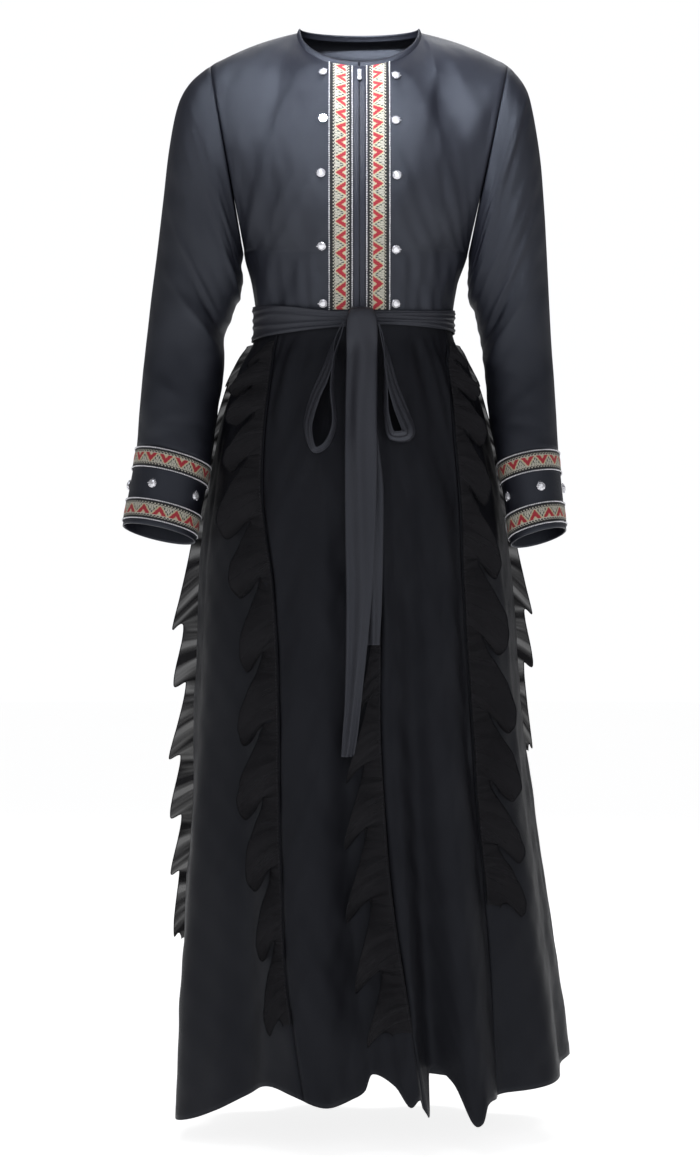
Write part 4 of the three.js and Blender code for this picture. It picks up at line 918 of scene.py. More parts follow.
def braid(name, lines):
    """A cord of small silver beads along lines of (points, normals)."""
    parts = []
    for line, normal in lines:
        step = run_along(line)
        for at in np.arange(BEAD_PITCH / 2, step[-1], BEAD_PITCH):
            centre, out = between_points(at, step, line), between_points(at, step, normal)
            ahead = between_points(at + 0.5, step, line) - centre
            if not ahead.any():
                ahead = line[-1] - line[-2]
            ahead /= np.linalg.norm(ahead)
            out /= np.linalg.norm(out)
            beside = np.cross(out, ahead)
            size = random.uniform(0.92, 1.06)
            turned = BEAD_POINTS @ np.stack([beside * 1.12 * size, ahead * 1.08 * size, out * 0.85 * size])
            shift = beside * random.uniform(-0.12, 0.12) + out * 1.0
            parts.append((centre + shift + turned, BEAD_FACES, 0))
    points, faces, _ = joined(*parts)
    piece = mesh_piece(name, points, faces, [BEAD])
    return belongs(piece, "ribbon")


def laid(side, xs, v_line):
    """Grids of points and directions on a front, at distances from the centre line."""
    both = [on_front(side, x, v_line) for x in xs]
    return np.stack([b[0] for b in both], axis=1), np.stack([b[1] for b in both], axis=1)


def spread_rows(points, rows):
    """A grid sampled again with more rows."""
    flat = points.reshape(len(points), -1)
    spread = between_points(np.linspace(0, 1, rows), np.linspace(0, 1, len(points)), flat)
    return spread.reshape((rows,) + points.shape[1:])


# ---- ribbons, braid, placket and gems on the front
FRONT_PITCH, FRONT_GROWTH = 20, 0.5
front_extras = {}
for side, sign in SIDES.items():
    v_line = np.linspace(0.004, TRIM_END, 110)

    def front_strip(u, v, side=side):
        xs = RIBBON_INNER_X + RIBBON_WIDTH * u[0]
        points, normal = laid(side, xs, v_line)
        return spread_rows(points + normal * LAID, u.shape[0]), spread_rows(normal, u.shape[0])

    length = measure(laid(side, [RIBBON_INNER_X + 15], v_line)[0].repeat(2, axis=1))[-1, 0, 1]
    name = f"trim_front_{side}"
    trim = ribbon_piece(name, RIBBON_WIDTH, front_strip, length, FRONT_PITCH, 9 + 3 * sign, True,
                        FRONT_GROWTH)
    lines = []
    for x in (RIBBON_INNER_X + BRAID / 2 - 0.3, RIBBON_INNER_X + RIBBON_WIDTH - BRAID / 2 + 0.3):
        points, normal = laid(side, [x], v_line)
        lines.append((points[:, 0] + normal[:, 0] * (LAID + 0.3), normal[:, 0]))
    front_extras[side] = [trim, braid(f"braid_front_{side}", lines)]


GEM_RADIUS, GEM_HEIGHT = 5.8, 3.8
CLAWS = 6


def gem(name, centre, facing, up):
    """A faceted round stone in a thin claw rim with a small tip, square on the cloth."""
    radius, height = GEM_RADIUS, GEM_HEIGHT
    facing = facing / np.linalg.norm(facing)
    across = np.cross(up, facing)
    across /= np.linalg.norm(across)
    up = np.cross(facing, across)
    turns = 12

    def ring(r, h, shift=0.0):
        at = (np.arange(turns) + shift) / turns * math.tau
        return [[r * math.cos(a), r * math.sin(a), h] for a in at]

    def lathe(profile, first):
        faces = []
        for level in range(len(profile) - 1):
            for k in range(turns):
                a, b = level * turns + k, level * turns + (k + 1) % turns
                faces.append([a, b, b + turns, a + turns])
        points = [p for r, h, s in profile for p in ring(r, h, s)]
        cap_low, cap_high = 0, (len(profile) - 1) * turns
        for k in range(1, turns - 2, 2):
            faces.append([cap_low, cap_low + k + 2, cap_low + k + 1, cap_low + k])
            faces.append([cap_high, cap_high + k, cap_high + k + 1, cap_high + k + 2])
        return np.array(points), np.array(faces), first

    rim = lathe([(radius * 0.94, 0, 0), (radius, 0.5, 0), (radius, 1.5, 0), (radius * 0.9, 2.0, 0)], 1)
    stone = lathe([(radius * 0.84, 1.2, 0), (radius * 0.84, 2.1, 0), (radius * 0.62, height * 0.85, 0.5),
                   (radius * 0.34, height, 0)], 0)
    claws = []
    for k in range(CLAWS):
        at = (k + 0.5) / CLAWS * math.tau
        profile = (radius, 0.6), (radius * 0.99, 2.1), (radius * 0.78, 2.7)
        line = [[r * math.cos(at), r * math.sin(at), h] for r, h in profile]
        claws.append((*tube(line, [0.55, 0.55, 0.4], 5), 1))
    tip = tube([[radius * 0.9, 0, 0.9], [radius + 1.6, 0, 0.8]], [1.3, 0.35], 6)
    points, faces, numbers = joined(stone, rim, *claws, (*tip, 1))
    placed = centre + points @ np.stack([across, up, facing])
    piece = mesh_piece(f"{name}_stone", placed, faces, [GLASS, SILVER], None, numbers, flat=True)
    return belongs(piece, "gem", name)


FRONT_GEMS = {
    "right": [(45.8, 64), (46, 127), (48.6, 197), (47.5, 288), (45.8, 360)],
    "left": [(45.8, 69), (46, 129), (47, 200), (46, 292), (45.8, 360)],
}
for side, sign in SIDES.items():
    v_line = np.linspace(0.004, 1, 160)
    for number, (x, down) in enumerate(FRONT_GEMS[side], 1):
        line, _ = on_front(side, x, v_line)
        v = float(np.interp(down, -line[:, 2], v_line))
        point = on_front(side, x, [v])[0][0]
        beside = on_front(side, x + 3, [v])[0][0] - on_front(side, x - 3, [v])[0][0]
        along = on_front(side, x, [v + 0.01])[0][0] - on_front(side, x, [max(v - 0.01, 0)])[0][0]
        facing = np.cross(beside, along)
        facing *= -np.sign(facing[1]) / np.linalg.norm(facing)
        up = np.array([0, 0, sign])
        front_extras[side].append(gem(f"gem_front_{side}_{number}", point + facing * LAID, facing, up))

# the placket: two satin strips that meet over the zip, each with a rolled edge; a strip's
# section runs from the zip outwards, as distance from the centre line and height
PLACKET_SECTION = np.array([(0.35, 0.1), (0.9, 0.75), (2.2, 0.95), (4.0, 0.8), (5.8, 0.7), (7.8, 0.5)])
half_strips = []
for side, sign in SIDES.items():
    v_line = np.linspace(0.003, TRIM_END, 90)
    xs, heights = PLACKET_SECTION.T
    points, normal = laid(side, xs, v_line)
    points = points + normal * (LAID + heights)[None, :, None]
    points[..., 0] = sign * xs[None, :]
    shell = wall(points, 0.6, outside_of(points))
    half_strips.append((shell[0], shell[1], 0))
points, faces, _ = joined(*half_strips)
placket = mesh_piece("placket_satin", points, faces, [SATIN], points[:, [0, 2]])
front_extras["right"].append(belongs(placket, "satin", "zip_placket"))

# ---- bodice
for side, sign in SIDES.items():
    u, v, points = front_grids[side]
    cloth_piece(
        f"bodice_{side}_cloth", "crepe", [f"bodice_front_{side}"], points, CREPE, CLOTH,
    )
u, v = grid(90, 84)
base = back_panel(u, v)
calm = np.sin(np.pi * u) * smooth(0, 0.1, v)
gathers = 1.5 * np.sin(math.tau * 15 * u + np.sin(9 * u)) * smooth(0.78, 1, v) * calm
points = body_wall(base, gathers + ripple(u.shape, 5, [(3, 3, 0.9), (8, 6, 0.4)]) * calm, "se", u, v)
cloth_piece("bodice_back_cloth", "crepe", ["bodice_back"], points, CREPE, CLOTH)

# the binding: a narrow folded strip that stands on the neckline
u, v = grid(150, 5)
turn = mixed(-179.7, 179.7, u)
profile_out = np.interp(v, [0, 0.3, 0.8, 1], [0.5, 0.9, 0.8, 0.2])
points = neck_ring(turn) + neck_rise(turn) * mixed(-2.5, 6.6, v)[..., None]
points = raised(points, profile_out)
cloth_piece("neck_binding_cloth", "crepe", ["neck_binding"], points, CREPE, 1.9)

# ---- sleeves and cuffs
CUFF_GEM_START = {"right": 71, "left": 79}
CUFF_GEMS = 5
CUFF_RIBBON_WIDTH, CUFF_PITCH = 28, 20.5
CUFF_RIBBON_TOP, CUFF_RIBBON_FOOT = 0.3, 6
# share of the length, angle, half width as a share, height, slant
SLEEVE_CREASES = [
    (0.50, 100, 0.016, 2.2, 0.05), (0.56, 125, 0.018, -2.0, 0.07), (0.62, 95, 0.015, 1.8, 0.05),
    (0.70, 140, 0.02, 1.6, -0.05), (0.31, 150, 0.02, 1.6, 0.06), (0.24, 160, 0.02, -1.5, 0.07),
    (0.83, 70, 0.016, 1.3, 0.03), (0.90, 110, 0.016, -1.2, -0.03), (0.55, 250, 0.02, 1.6, 0.05),
]
for side, sign in SIDES.items():
    rows = np.array(SLEEVES[side], float)
    last = len(rows) - 1
    cuff_length = math.hypot(*(rows[last, 1:3] - rows[CUFF_TOP_ROW, 1:3]))
    per_mm = (last - CUFF_TOP_ROW) / cuff_length
    u, v = grid(88, 128)
    base = sleeve(side, 360 * u, CUFF_TOP_ROW * v)
    wrinkle = ripple(u.shape, 21 + sign, [(2, 4, 0.9), (5, 11, 0.35)])
    wrinkle[:, -1] = wrinkle[:, 0]
    wrinkle = wrinkle * smooth(0, 0.1, u) * (1 - smooth(0.9, 1, u)) * smooth(0.03, 0.15, v)
    crease = 0
    for at, angle, width, out, slant in SLEEVE_CREASES:
        beside = around(360 * u - angle)
        crease = crease + out * bell(v - at - slant * beside / 60, width) * bell(beside, 42)
    size = measure(base)[..., 1]
    dip = -1.2 * bell(size, 2.6) - 1.0 * bell(size.max() - size, 2.4)
    points = raised(base, wrinkle + crease + dip, True)
    cloth_piece(f"sleeve_{side}_cloth", "crepe", [f"sleeve_{side}"], points, CREPE, CLOTH,
                closed=True)

    u, v = grid(110, 34)
    base = sleeve(side, 360 * u, mixed(CUFF_TOP_ROW, last, v))
    size = measure(base)[..., 1]
    hem = 0.35 * smooth(size.max() - 9, size.max() - 6, size) - 0.8 * bell(size, 2.0)
    points = raised(base, hem - 0.2, True)
    start = CUFF_TOP_ROW + CUFF_RIBBON_TOP * per_mm
    lower_end = last - CUFF_RIBBON_FOOT * per_mm
    tall = CUFF_RIBBON_WIDTH * per_mm
    bands = {"upper": (start, start + tall), "lower": (lower_end - tall, lower_end)}
    for place, (low, high) in bands.items():
        def band(u, v, low=low, high=high, side=side):
            points = sleeve(side, 360 * v, mixed(low, high, u))
            out = normals_of(points, False)
            ring_middle = points.reshape(-1, 3).mean(axis=0)
            out *= np.sign((out * (points - ring_middle)).sum(axis=-1, keepdims=True))
            return points + out * LAID, out

        probe, _ = band(*np.meshgrid([0.5, 0.6], np.linspace(0, 1, 90)))
        length = measure(probe)[-1, 0, 1]
        pitch = length / round(length / CUFF_PITCH)
        name = f"cuff_trim_{place}_{side}"
        ribbon_piece(name, CUFF_RIBBON_WIDTH, band, length, pitch, 0, place == "upper")
        lines = []
        edge = BRAID / 2 / CUFF_RIBBON_WIDTH
        for share in (edge, 1 - edge):
            line, out = band(*np.meshgrid([share, share + 0.01], np.linspace(0, 1, 160)))
            lines.append((line[:, 0], out[:, 0]))
        braid(f"braid_cuff_{place}_{side}", lines)
    middle = (bands["upper"][1] + bands["lower"][0]) / 2
    for number in range(CUFF_GEMS):
        angle = CUFF_GEM_START[side] + 360 / CUFF_GEMS * number
        point = sleeve(side, angle, middle)
        beside = sleeve(side, angle + 2, middle) - sleeve(side, angle - 2, middle)
        along = sleeve(side, angle, middle + 0.1) - sleeve(side, angle, middle - 0.1)
        facing = np.cross(beside, along)
        ring_middle = np.array([sleeve(side, a, middle) for a in range(0, 360, 30)]).mean(axis=0)
        facing *= np.sign(facing @ (point - ring_middle))
        facing /= np.linalg.norm(facing)
        up = np.cross(facing, -along / np.linalg.norm(along))
        gem(f"gem_cuff_{side}_{number + 1}", point + facing * 0.3, facing, up)
    cloth_piece(f"cuff_{side}_cloth", "crepe", [f"cuff_{side}"], points, CREPE, 1.5,
                closed=True)

# ---- skirt
SKIRT_PANELS = [
    ("skirt_side_right", "side_right", "right", 56, (0.34, 1.02), 0.245),
    ("skirt_front_right", "right", "centre", 66, (0.30, 1.00), 0.172),
    ("skirt_front_left", "centre", "left", 66, (0.30, 1.00), 0.165),
    ("skirt_side_left", "left", "side_left", 52, (0.36, 1.00), 0.195),
    ("skirt_back", "side_left", "side_behind", 112, (0.86, 1.02), 0.66),
]
# extra soft folds over the panels: angle, half width, height, from and to down
SOFT_FOLDS = [
    (-84, 3.2, 2.4, 470, 1000), (-74, 2.6, -2.0, 430, 900), (-33, 4.5, 3.0, 520, 1500),
    (-12, 3.5, 2.2, 430, 980), (1, 2.6, -2.2, 640, 1500), (9, 2.2, 2.4, 440, 900), (35, 3.2, 2.6, 560, 1500),
    (52, 3.5, -2.4, 640, 1500), (66, 3, 2.4, 460, 1080), (84, 3.5, -2.2, 640, 1300), (114, 4, 2.6, 450, 900),
    (132, 3.5, -2.4, 470, 1100), (150, 3.2, 2.6, 430, 1000), (168, 3.2, -2.4, 440, 1200),
    (-174, 3.2, 2.6, 430, 1000), (-156, 3.5, -2.4, 460, 1100), (-138, 3.2, 2.6, 430, 900),
    (-120, 3.5, 2.4, 600, 1500), (-100, 3, -2.0, 450, 900),
]


def skirt_detail(angle, down):
    height = 0
    for at, width, out, low, high in SOFT_FOLDS:
        shape = smooth(low, low + 130, down) * (1 - smooth(high - 160, high, down))
        height = height + out * shape * bell(around(angle - at - 0.004 * (down - 800)), width)
    pleats = smooth(398, 412, down) * (1 - smooth(470, 560, down))
    return height + 0.9 * pleats * np.sin(np.radians(41 * angle) + 1.7 * np.sin(np.radians(7 * angle)))


for name, start, end, columns, flat, area in SKIRT_PANELS:
    u, v = grid(columns, 150)
    low = np.full_like(u, HEM_DOWN)
    hem = hem_down(mixed(seam_angle(start, low), seam_angle(end, low), u))
    down = mixed(WAIST, hem, v)
    angle = mixed(seam_angle(start, down), seam_angle(end, down), u)
    points = skirt(angle, down)
    seed = sum(map(ord, name))
    uneven = ripple(u.shape, seed, [(1.5, 5, 0.9), (5, 14, 0.35)]) * smooth(0, 0.1, v)
    to_hem = hem - down
    hemmed = 0.35 * smooth(15, 11, to_hem) + 0.25 * bell(to_hem - 13, 1.6)
    relief = skirt_detail(angle, down) + uneven + hemmed
    edge_calm = smooth(0, 0.05, u) * (1 - smooth(0.95, 1, u))
    relief = relief * edge_calm * smooth(376, 404, down)
    points = body_wall(points, relief - 0.2, "se", u, v)
    cloth_piece(f"{name}_cloth", "crepe", [name], points, SKIRT_CREPE_PAINTED_SHADE, CLOTH)

# ---- sash
BELT_EDGES = [
    (-180, 352, 398), (-90, 357, 402), (-50, 360, 397), (-14, 370, 391), (0, 371, 390),
    (14, 370, 387), (40, 368, 388), (90, 361, 391), (180, 352, 398),
]
# share of the height, half width as a share, height of the crease
BELT_CREASES = [(0.13, 0.05, 1.5), (0.36, 0.07, 1.7), (0.62, 0.06, 1.6), (0.87, 0.05, 1.5)]
BELT_OFF = 2.2
u, v = grid(240, 26)
angle = mixed(-180, 180, u)
top, bottom = row_at(BELT_EDGES, angle)
points = torso(angle, mixed(top, bottom, v))
lean = 0.06 * np.sin(np.radians(angle)) + 0.05 * np.sin(np.radians(3 * angle))
creased = 0
for at, width, height in BELT_CREASES:
    wander = at + lean * (1 - 2 * at) + 0.035 * np.sin(np.radians(5 * angle) + 9 * at)
    creased = creased + height * bell(v - wander, width)
creased = creased + 0.9 * bell(angle, 26) * np.cos(math.tau * 4.5 * v)
points = points + outward(angle) * (CLOTH + BELT_OFF + creased)[..., None]
cloth_piece("belt_cloth", "crepe", ["belt"], points, SASH_CREPE_PAINTED_SHEEN, 1.2,
            closed=True)

# the knot: a lump of gathered cloth, its folds running down and round
KNOT_MIDDLE, KNOT_HALF = (2, -117.3, -383), (19.8, -10.9, 16.8)
KNOT_ROUNDNESS = 0.82


def boxed(value):
    """A share of a ball's radius, pushed out towards a box."""
    return np.sign(value) * np.abs(value) ** KNOT_ROUNDNESS


u, v = grid(56, 34)
turn, rise = math.tau * u, np.pi * (v - 0.5)
x, y, z = boxed(np.cos(rise) * np.cos(turn)), np.cos(rise) * np.sin(turn), boxed(np.sin(rise))
fold = 1 + 0.045 * np.sin(9 * x + 2.2 * z) * np.abs(np.cos(rise)) + 0.03 * np.sin(16 * x - 1.5 * z)
lump = KNOT_MIDDLE + xyz(x, y, z) * KNOT_HALF * fold[..., None]
made, faces, _ = welded(lump.reshape(-1, 3), grid_faces(34, 56)[0], measure(lump).reshape(-1, 2))
corners = [list(dict.fromkeys(face)) for face in faces.tolist()]
knot_mesh = bpy.data.meshes.new("knot")
knot_mesh.from_pydata([tuple(place * MM) for place in made], [], corners)
knot_mesh.materials.append(SASH_CREPE_PAINTED_SHEEN)
knot_mesh.uv_layers.new(name="UVMap")
knot_mesh.shade_smooth()
knot = bpy.data.objects.new("knot", knot_mesh)
bpy.context.scene.collection.objects.link(knot)
belongs(knot, "crepe", "belt_knot")

# down, middle, distance off the skirt, half width
TAILS = {
    "belt_tail_front": [
        (366.5, 3, 15, 12.5), (368, 3, 21, 13.5), (373, 3, 26.5, 16), (382, 3, 29, 19), (402, 3, 28, 20),
        (430, 3, 21, 20), (500, 2, 16, 20.5), (573, 2, 16, 20.5), (650, 1, 18, 19), (736, -1, 19, 16),
        (860, -8, 19, 10.5), (905, -12, 19, 9.5), (931, -15, 19, 8),
    ],
    "belt_tail_rear": [
        (400.4, 4, 14, 9), (428, 6, 7, 13), (450, 7, 6, 14), (530, 8, 6, 16), (590, 12, 9, 18),
        (640, 12, 11, 18), (740, 14, 11, 14), (792, 15, 11, 10),
    ],
}
TAIL_FLAT = {"belt_tail_front": (0.052, 0.575), "belt_tail_rear": (0.046, 0.395)}
TAIL_SHARE = 0.72
for name, rows in TAILS.items():
    u, v = grid(26, 260)
    down = mixed(rows[0][0], rows[-1][0], v**1.15)
    middle, off, half = row_at(rows, down)
    across = 2 * u - 1
    # the strip is wider than it shows: its edges roll back and long creases take up the rest
    roll = -3.2 * np.abs(across) ** 5
    long_crease = 1.5 * np.cos(math.tau * (0.9 * across + 0.15 * np.sin(down / 70)))
    long_crease = long_crease * smooth(380, 420, down) + 1.1 * bell(across - 0.35 * np.sin(down / 95), 0.28)
    sway = 0.8 * np.sin(down / 52) * smooth(420, 520, down)
    points = before_skirt(middle + half * across, down, off + long_crease + roll + sway)
    area = TAIL_SHARE * math.prod(TAIL_FLAT[name])
    cloth_piece(f"{name}_cloth", "crepe", [name], points, SASH_CREPE_PAINTED_SHEEN, 1.3)

# corners of the bow's two hanging rings, as x and down
LOOPS = {
    "right": [(-19.5, 384), (-34, 410), (-45, 440), (-62, 478), (-71, 515), (-64, 545), (-52, 552),
              (-37, 540), (-29, 512), (-33, 470), (-30, 430), (-22, 400)],
    "left": [(23.6, 385), (36, 420), (47, 460), (62, 497), (71, 522), (64, 536), (47, 538), (34, 530),
             (31, 500), (31, 450), (27, 410)],
}
# share of the way round the ring, and how far the band's front edge leans in there
LEANS = {
    "right": [(0, 0), (0.08, 7), (0.22, 13), (0.36, 11), (0.48, 7), (0.62, 5), (1, 1)],
    "left": [(0, 0), (0.08, 6), (0.2, 11), (0.32, 16), (0.44, 17), (0.54, 12), (0.66, 5), (1, 1)],
}
LOOP_MIDDLE = (43.0, 470.0)
LOOP_DEPTH = {"knot": 13, "low": 23}
LOOP_OFF = 7.5


def closed_curve(corners, count):
    """A smooth ring through corners, evenly sampled."""
    corners = np.array(corners, float)
    n = len(corners)
    t = np.linspace(0, n, count * 4, endpoint=False)
    i = t.astype(int)
    f = (t - i)[:, None]
    p0, p1, p2, p3 = (corners[(i + k) % n] for k in (-1, 0, 1, 2))
    square, cube = 2 * p0 - 5 * p1 + 4 * p2 - p3, 3 * p1 - p0 - 3 * p2 + p3
    ring = 0.5 * (2 * p1 + (p2 - p0) * f + square * f**2 + cube * f**3)
    ring = np.concatenate([ring, ring[:1]])
    step = run_along(ring)
    return between_points(np.linspace(0, step[-1], count + 1), step, ring)


for side, sign in SIDES.items():
    ring = closed_curve(LOOPS[side], 150)
    u, v = grid(150, 22)
    middle = np.array(LOOP_MIDDLE) * (sign, 1)
    low = smooth(400, 470, ring[:, 1])
    # the band is drawn narrow where the knot grips it and opens below; its front edge leans in
    along = np.gradient(ring, axis=0)
    inward = np.stack([-along[:, 1], along[:, 0]], axis=-1) / np.linalg.norm(along, axis=1)[:, None]
    inward *= np.sign(((middle - ring) * inward).sum())
    lean = np.interp(u[0], *zip(*LEANS[side])) * smooth(392, 440, ring[:, 1])
    x, down = np.moveaxis(ring + inward * lean[:, None] * v[..., None], -1, 0)
    depth = mixed(LOOP_DEPTH["knot"], LOOP_DEPTH["low"], low)
    crease = np.sin(math.tau * (2.2 * v + 1.5 * u)) * low
    off = LOOP_OFF + (LOOP_DEPTH["low"] - depth) * 0.5 + depth * v
    points = raised(before_skirt(x, down, off), crease, True)
    points[:, -1] = points[:, 0]
    flat = (round(float(measure(points)[0, -1, 0]) * MM, 3), 0.024)
    cloth_piece(f"bow_loop_{side}_cloth", "crepe", [f"bow_loop_{side}"], points, SASH_CREPE_PAINTED_SHEEN, 1.2,
                closed=True)


# ---- ruffles
# down, how far the free edge reaches sideways from the seam, how far its waves stand off the skirt
FRONT_RUFFLES = {
    "ruffle_front_right": ("right", [
        (404, -26, 6), (450, -34, 16), (540, -36, 20), (640, -34, 20), (740, -35, 22), (860, -44, 22),
        (990, -42, 22), (1100, -36, 20), (1180, -30, 18), (1262, -22, 10),
    ]),
    "ruffle_centre": ("centre", [
        (640, -14, 3), (760, -20, 4), (860, -26, 5), (950, -38, 16), (1050, -50, 20), (1130, -48, 22),
        (1210, -46, 18), (1270, -46, 10),
    ]),
    "ruffle_front_left": ("left", [
        (404, 18, 5), (450, 24, 13), (540, 30, 16), (640, 34, 18), (740, 33, 20), (850, 36, 20),
        (960, 42, 20), (1050, 42, 16), (1120, 36, 8),
    ]),
}
SIDE_RUFFLES = {
    "ruffle_side_right": (-1, [
        (404, 12, 6), (440, 16, 9), (500, 16, 10), (600, 20, 12), (690, 27, 15), (770, 34, 16),
        (850, 30, 15), (940, 32, 15), (1030, 22, 13), (1110, 20, 9), (1178, 14, 6),
    ]),
    "ruffle_side_left": (1, [
        (404, 10, 6), (440, 15, 9), (500, 12, 9), (600, 14, 11), (690, 22, 14), (760, 26, 15),
        (840, 16, 12), (932, 12, 6),
    ]),
}
# The waves of each ruffle: the height where each begins, measured down the seam.
WAVES = {
    "ruffle_front_right": [404, 428, 462, 500, 556, 640, 716, 808, 898, 990, 1082, 1170, 1262],
    "ruffle_centre": [640, 706, 780, 866, 945, 1025, 1113, 1201, 1270],
    "ruffle_front_left": [404, 430, 468, 524, 600, 690, 786, 884, 972, 1050, 1120],
    "ruffle_side_right": [404, 456, 536, 640, 774, 846, 942, 1020, 1094, 1178],
    "ruffle_side_left": [404, 456, 548, 646, 754, 822, 932],
}
MOST_WAVES, STEP_SPREAD = 40, 14
# the radius of the thread that a ruffle's free edge is rolled round
ROLLED_RADIUS = 0.62


def wave_phase(name, down):
    """How many waves lie above a height, with a little unevenness between them."""
    return np.interp(down, WAVES[name], np.arange(len(WAVES[name])))


def cascade(phase):
    """How far each flap has opened (0-1) along its length, and how far it stands off the skirt: a
    flap opens slowly down to a point, then folds back under itself."""
    part = phase % 1
    open_flap = smooth(0, 0.70, part) * (1 - smooth(0.72, 1, part))
    fold = smooth(0, 0.45, part) * (1 - smooth(0.50, 0.86, part))
    return open_flap, fold


def pleats(u, count, seed, height):
    """Gathers that fan out from the seam and fade before the free edge."""
    source = np.random.default_rng(seed)
    total = 0
    for frequency in (4.3, 6.1, 9.7):
        wander = source.uniform(0, math.tau)
        total = total + np.sin(math.tau * frequency * count + wander + 1.5 * u) / frequency**0.5
    return height * total * smooth(0, 0.25, u) * (1 - 0.75 * u)


def flutter(u, count, seed, height):
    """The small tight waves of a rolled edge, strongest at the free edge."""
    source = np.random.default_rng(seed)
    total = 0
    for frequency in (3.1, 4.7, 7.3):
        phase = source.uniform(0, math.tau)
        total = total + np.sin(math.tau * frequency * count + phase) / frequency**0.6
    return height * total * u**4


def ruffle_cloth(name, points, material):
    """The sheer strip, with its free edge rolled round a thread. Its cut is a long curved strip."""
    rolled = tube(points[:, -1], ROLLED_RADIUS, 5)
    normal = normals_of(points, False)[:, 0] * outside_of(points)
    seam = stitches(points[:, 1], normal)
    cloth_piece(f"{name}_cloth", "chiffon", [name], points, material, 0.5,
                extra=[(*rolled, ROLLED), (*seam, THREAD)])


class Ruffle:
    """What every ruffle needs on a grid that runs from its seam (u = 0) to its free edge and down
    it: how far it reaches and stands off, and where its flaps open and fold back."""

    def __init__(self, name, rows, columns, count, seed, least, most):
        self.u, v = grid(columns, count)
        self.down = mixed(rows[0][0], rows[-1][0], v)
        self.reach, self.out = row_at(rows, self.down)
        self.phase = wave_phase(name, self.down)
        step = np.gradient(self.down[:, 0]) / np.maximum(np.gradient(self.phase[:, 0]), 1e-6)
        even = np.ones(2 * STEP_SPREAD + 1) / (2 * STEP_SPREAD + 1)
        self.step = np.convolve(np.pad(step, STEP_SPREAD, mode="edge"), even, mode="valid")[:, None]
        each = np.random.default_rng(seed).uniform(least, most, MOST_WAVES)
        self.vary = np.interp(self.phase, np.arange(MOST_WAVES), each)
        self.ends = smooth(0, 0.03, v) * (1 - smooth(0.97, 1, v))
        self.open_flap, self.fold = cascade(self.phase)


def front_ruffle(name, number):
    """A ruffle on a front seam: it lies over the skirt, and its flaps reach sideways and down."""
    seam, rows = FRONT_RUFFLES[name]
    r = Ruffle(name, rows, 22, 440, 40 + number, 0.72, 1.12)
    hang = r.u**1.35
    sideways = r.reach * r.u * mixed(1, r.vary * (0.50 + 0.58 * r.open_flap), hang)
    drop = r.step * (0.50 * r.open_flap - 0.14) * hang * r.ends + 0.30 * np.abs(sideways) * r.u
    lift = r.out * (0.12 + 1.25 * r.fold) * r.u**1.15 * r.vary * r.ends + 1.8 + 0.4 * r.u
    small = pleats(r.u, r.phase, 50 + number, 1.5) + flutter(r.u, r.phase, 60 + number, 1.2)
    here = r.down + drop
    torso_row = row_at(TORSO, here)
    angle = seam_angle(seam, r.down) + np.degrees(2 * sideways / (torso_row[2] + torso_row[1]))
    points = skirt(angle, here) + outward(angle) * (lift + small * r.ends + 0.9)[..., None]
    ruffle_cloth(name, points, DOUBLED)


def side_ruffle(name, number):
    """A ruffle on a side seam: it stands out sideways, and its flaps swing to and fro."""
    sign, rows = SIDE_RUFFLES[name]
    r = Ruffle(name, rows, 20, 400, 80 + number, 0.8, 1.15)
    hang = r.u**1.2
    sideways = (r.reach + 3) * r.u * mixed(1, r.vary * (0.58 + 0.50 * r.open_flap), hang)
    drop = r.step * (0.30 * r.open_flap - 0.08) * hang * r.ends + 0.2 * r.reach * r.u
    swing = r.out * r.u * (1.6 * r.fold - 0.8) * r.vary + flutter(r.u, r.phase, 90 + number, 1.3)
    points = skirt(np.full_like(r.down, sign * SIDE_SEAM), r.down)
    points += xyz(sign * (sideways + 0.6), swing * r.ends, -drop)
    ruffle_cloth(name, points, CHIFFON)


for number, name in enumerate(FRONT_RUFFLES):
    front_ruffle(name, number)
for number, name in enumerate(SIDE_RUFFLES):
    side_ruffle(name, number)

# ------------------------------------------------------------------ the zip's metal
for node in ("zip_slider", "zip_pull"):
    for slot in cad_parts[node].material_slots:
        slot.material = CHROME

# ------------------------------------------------------------------ camera, light and floor
EYE_X, EYE_DOWN, EYE_BACK = -12, 709, 4000
VIEW_TALL = 1504
FLOOR = -1.425
camera_data = bpy.data.cameras.new("camera")
camera_data.lens = 36 * EYE_BACK / VIEW_TALL
camera_data.sensor_width = 36
camera = bpy.data.objects.new("camera", camera_data)
camera.location = (EYE_X * MM, -EYE_BACK * MM, -EYE_DOWN * MM)
camera.rotation_euler = (math.pi / 2, 0, 0)
bpy.context.scene.collection.objects.link(camera)
bpy.context.scene.camera = camera
bpy.context.scene.view_settings.view_transform = "Standard"


FLOOR_RADIUS = 14


def pale_floor():
    """A pale floor all round the garment."""
    mesh = bpy.data.meshes.new("floor")
    turns = np.radians(np.arange(0, 360, 5))
    rim = [(FLOOR_RADIUS * math.cos(turn), FLOOR_RADIUS * math.sin(turn), FLOOR) for turn in turns]
    mesh.from_pydata(rim, [], [list(range(len(rim)))])
    floor = bpy.data.objects.new("floor", mesh)
    bpy.context.scene.collection.objects.link(floor)
    n = Nodes("floor")
    grain = n.noise(n.place(), 3, 2)
    n.set(Base_Color=n.between((0.93, 0.93, 0.935), (0.96, 0.96, 0.96), grain), Roughness=0.9)
    n.set(Emission_Color=(1, 1, 1, 1), Emission_Strength=0.86)
    mesh.materials.append(n.material)


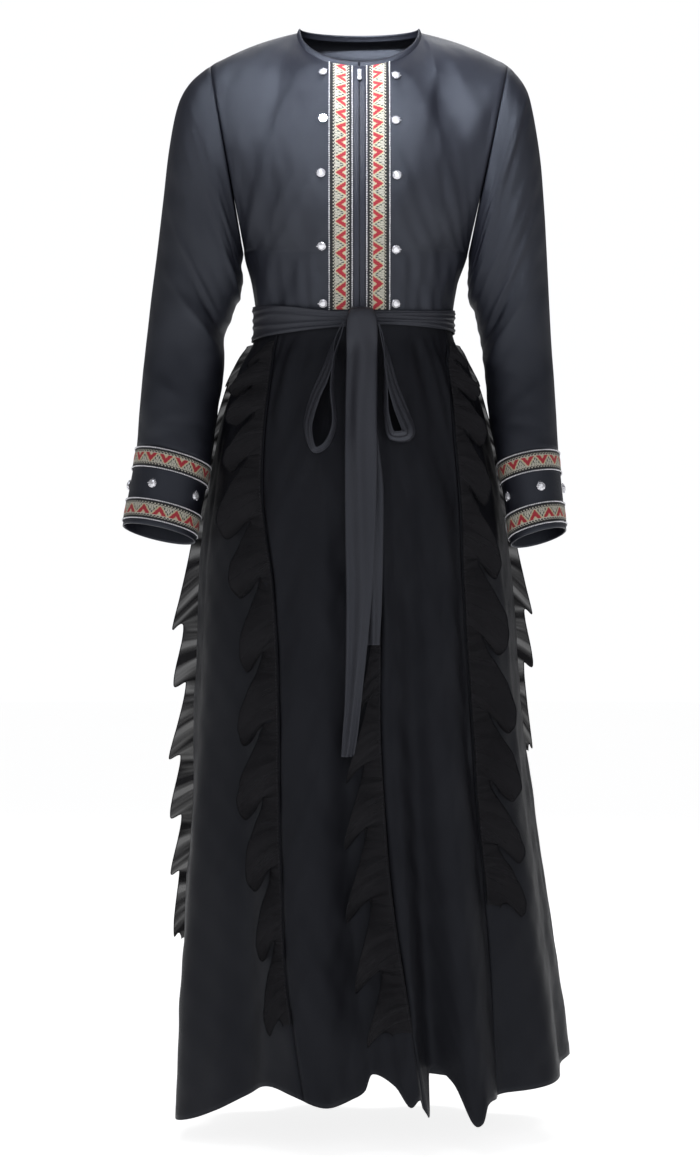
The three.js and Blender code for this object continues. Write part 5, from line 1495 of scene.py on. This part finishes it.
def aimed(data, place, target, power, colour):
    """Puts a light at a place, turned to a target, both in metres."""
    data.energy, data.color = power, colour
    light = bpy.data.objects.new(data.name, data)
    light.location = place
    light.rotation_euler = (Vector(target) - Vector(place)).to_track_quat("-Z", "Y").to_euler()
    bpy.context.scene.collection.objects.link(light)


def area_light(name, place, target, size, power, colour):
    data = bpy.data.lights.new(name, "AREA")
    data.shape, data.size, data.size_y = "RECTANGLE", *size
    aimed(data, place, target, power, colour)


def spot_light(name, place, target, angle, radius, power, colour):
    data = bpy.data.lights.new(name, "SPOT")
    data.spot_size, data.spot_blend, data.shadow_soft_size = math.radians(angle), 1.0, radius
    aimed(data, place, target, power, colour)


def studio(shown, lit, colour):
    """A world that is bright where it is seen directly and dim as a light on the cloth."""
    world = bpy.data.worlds.new("studio")
    world.use_nodes = True
    nodes, links = world.node_tree.nodes, world.node_tree.links
    nodes["Background"].inputs[0].default_value = (*colour, 1)
    strength, path = nodes.new("ShaderNodeMapRange"), nodes.new("ShaderNodeLightPath")
    strength.inputs["To Min"].default_value, strength.inputs["To Max"].default_value = lit, shown
    links.new(path.outputs["Is Camera Ray"], strength.inputs["Value"])
    links.new(strength.outputs["Result"], nodes["Background"].inputs[1])
    bpy.context.scene.world = world


pale_floor()
# place and target in metres, angle and radius or size, power in watts, colour
spot_light("chest", (-0.42, -1.5, 1.15), (0.005, -0.08, 0.04), 15, 0.16, 640, (0.90, 0.94, 1.0))
area_light("key", (-0.45, -0.95, 0.95), (-0.04, -0.10, -0.15), (0.7, 0.5), 2.6, (0.92, 0.95, 1.0))
area_light("fill", (1.3, -2.8, 0.6), (0.05, 0, -0.6), (1.2, 1.6), 4.8, (0.95, 0.96, 1.0))
area_light("low", (0.2, -2.8, 0.2), (0.05, 0, -0.9), (1.2, 1.6), 5.4, (1.0, 0.97, 1.0))
area_light("side", (-1.9, -1.0, -0.2), (0.0, 0.0, -0.85), (0.4, 1.3), 0.5, (0.97, 0.97, 1.0))
area_light("back", (0.3, 2.0, 1.8), (0, 0, -0.5), (2.2, 1.2), 30, (1, 1, 1))
studio(1.02, 0.14, (0.98, 0.985, 1.0))
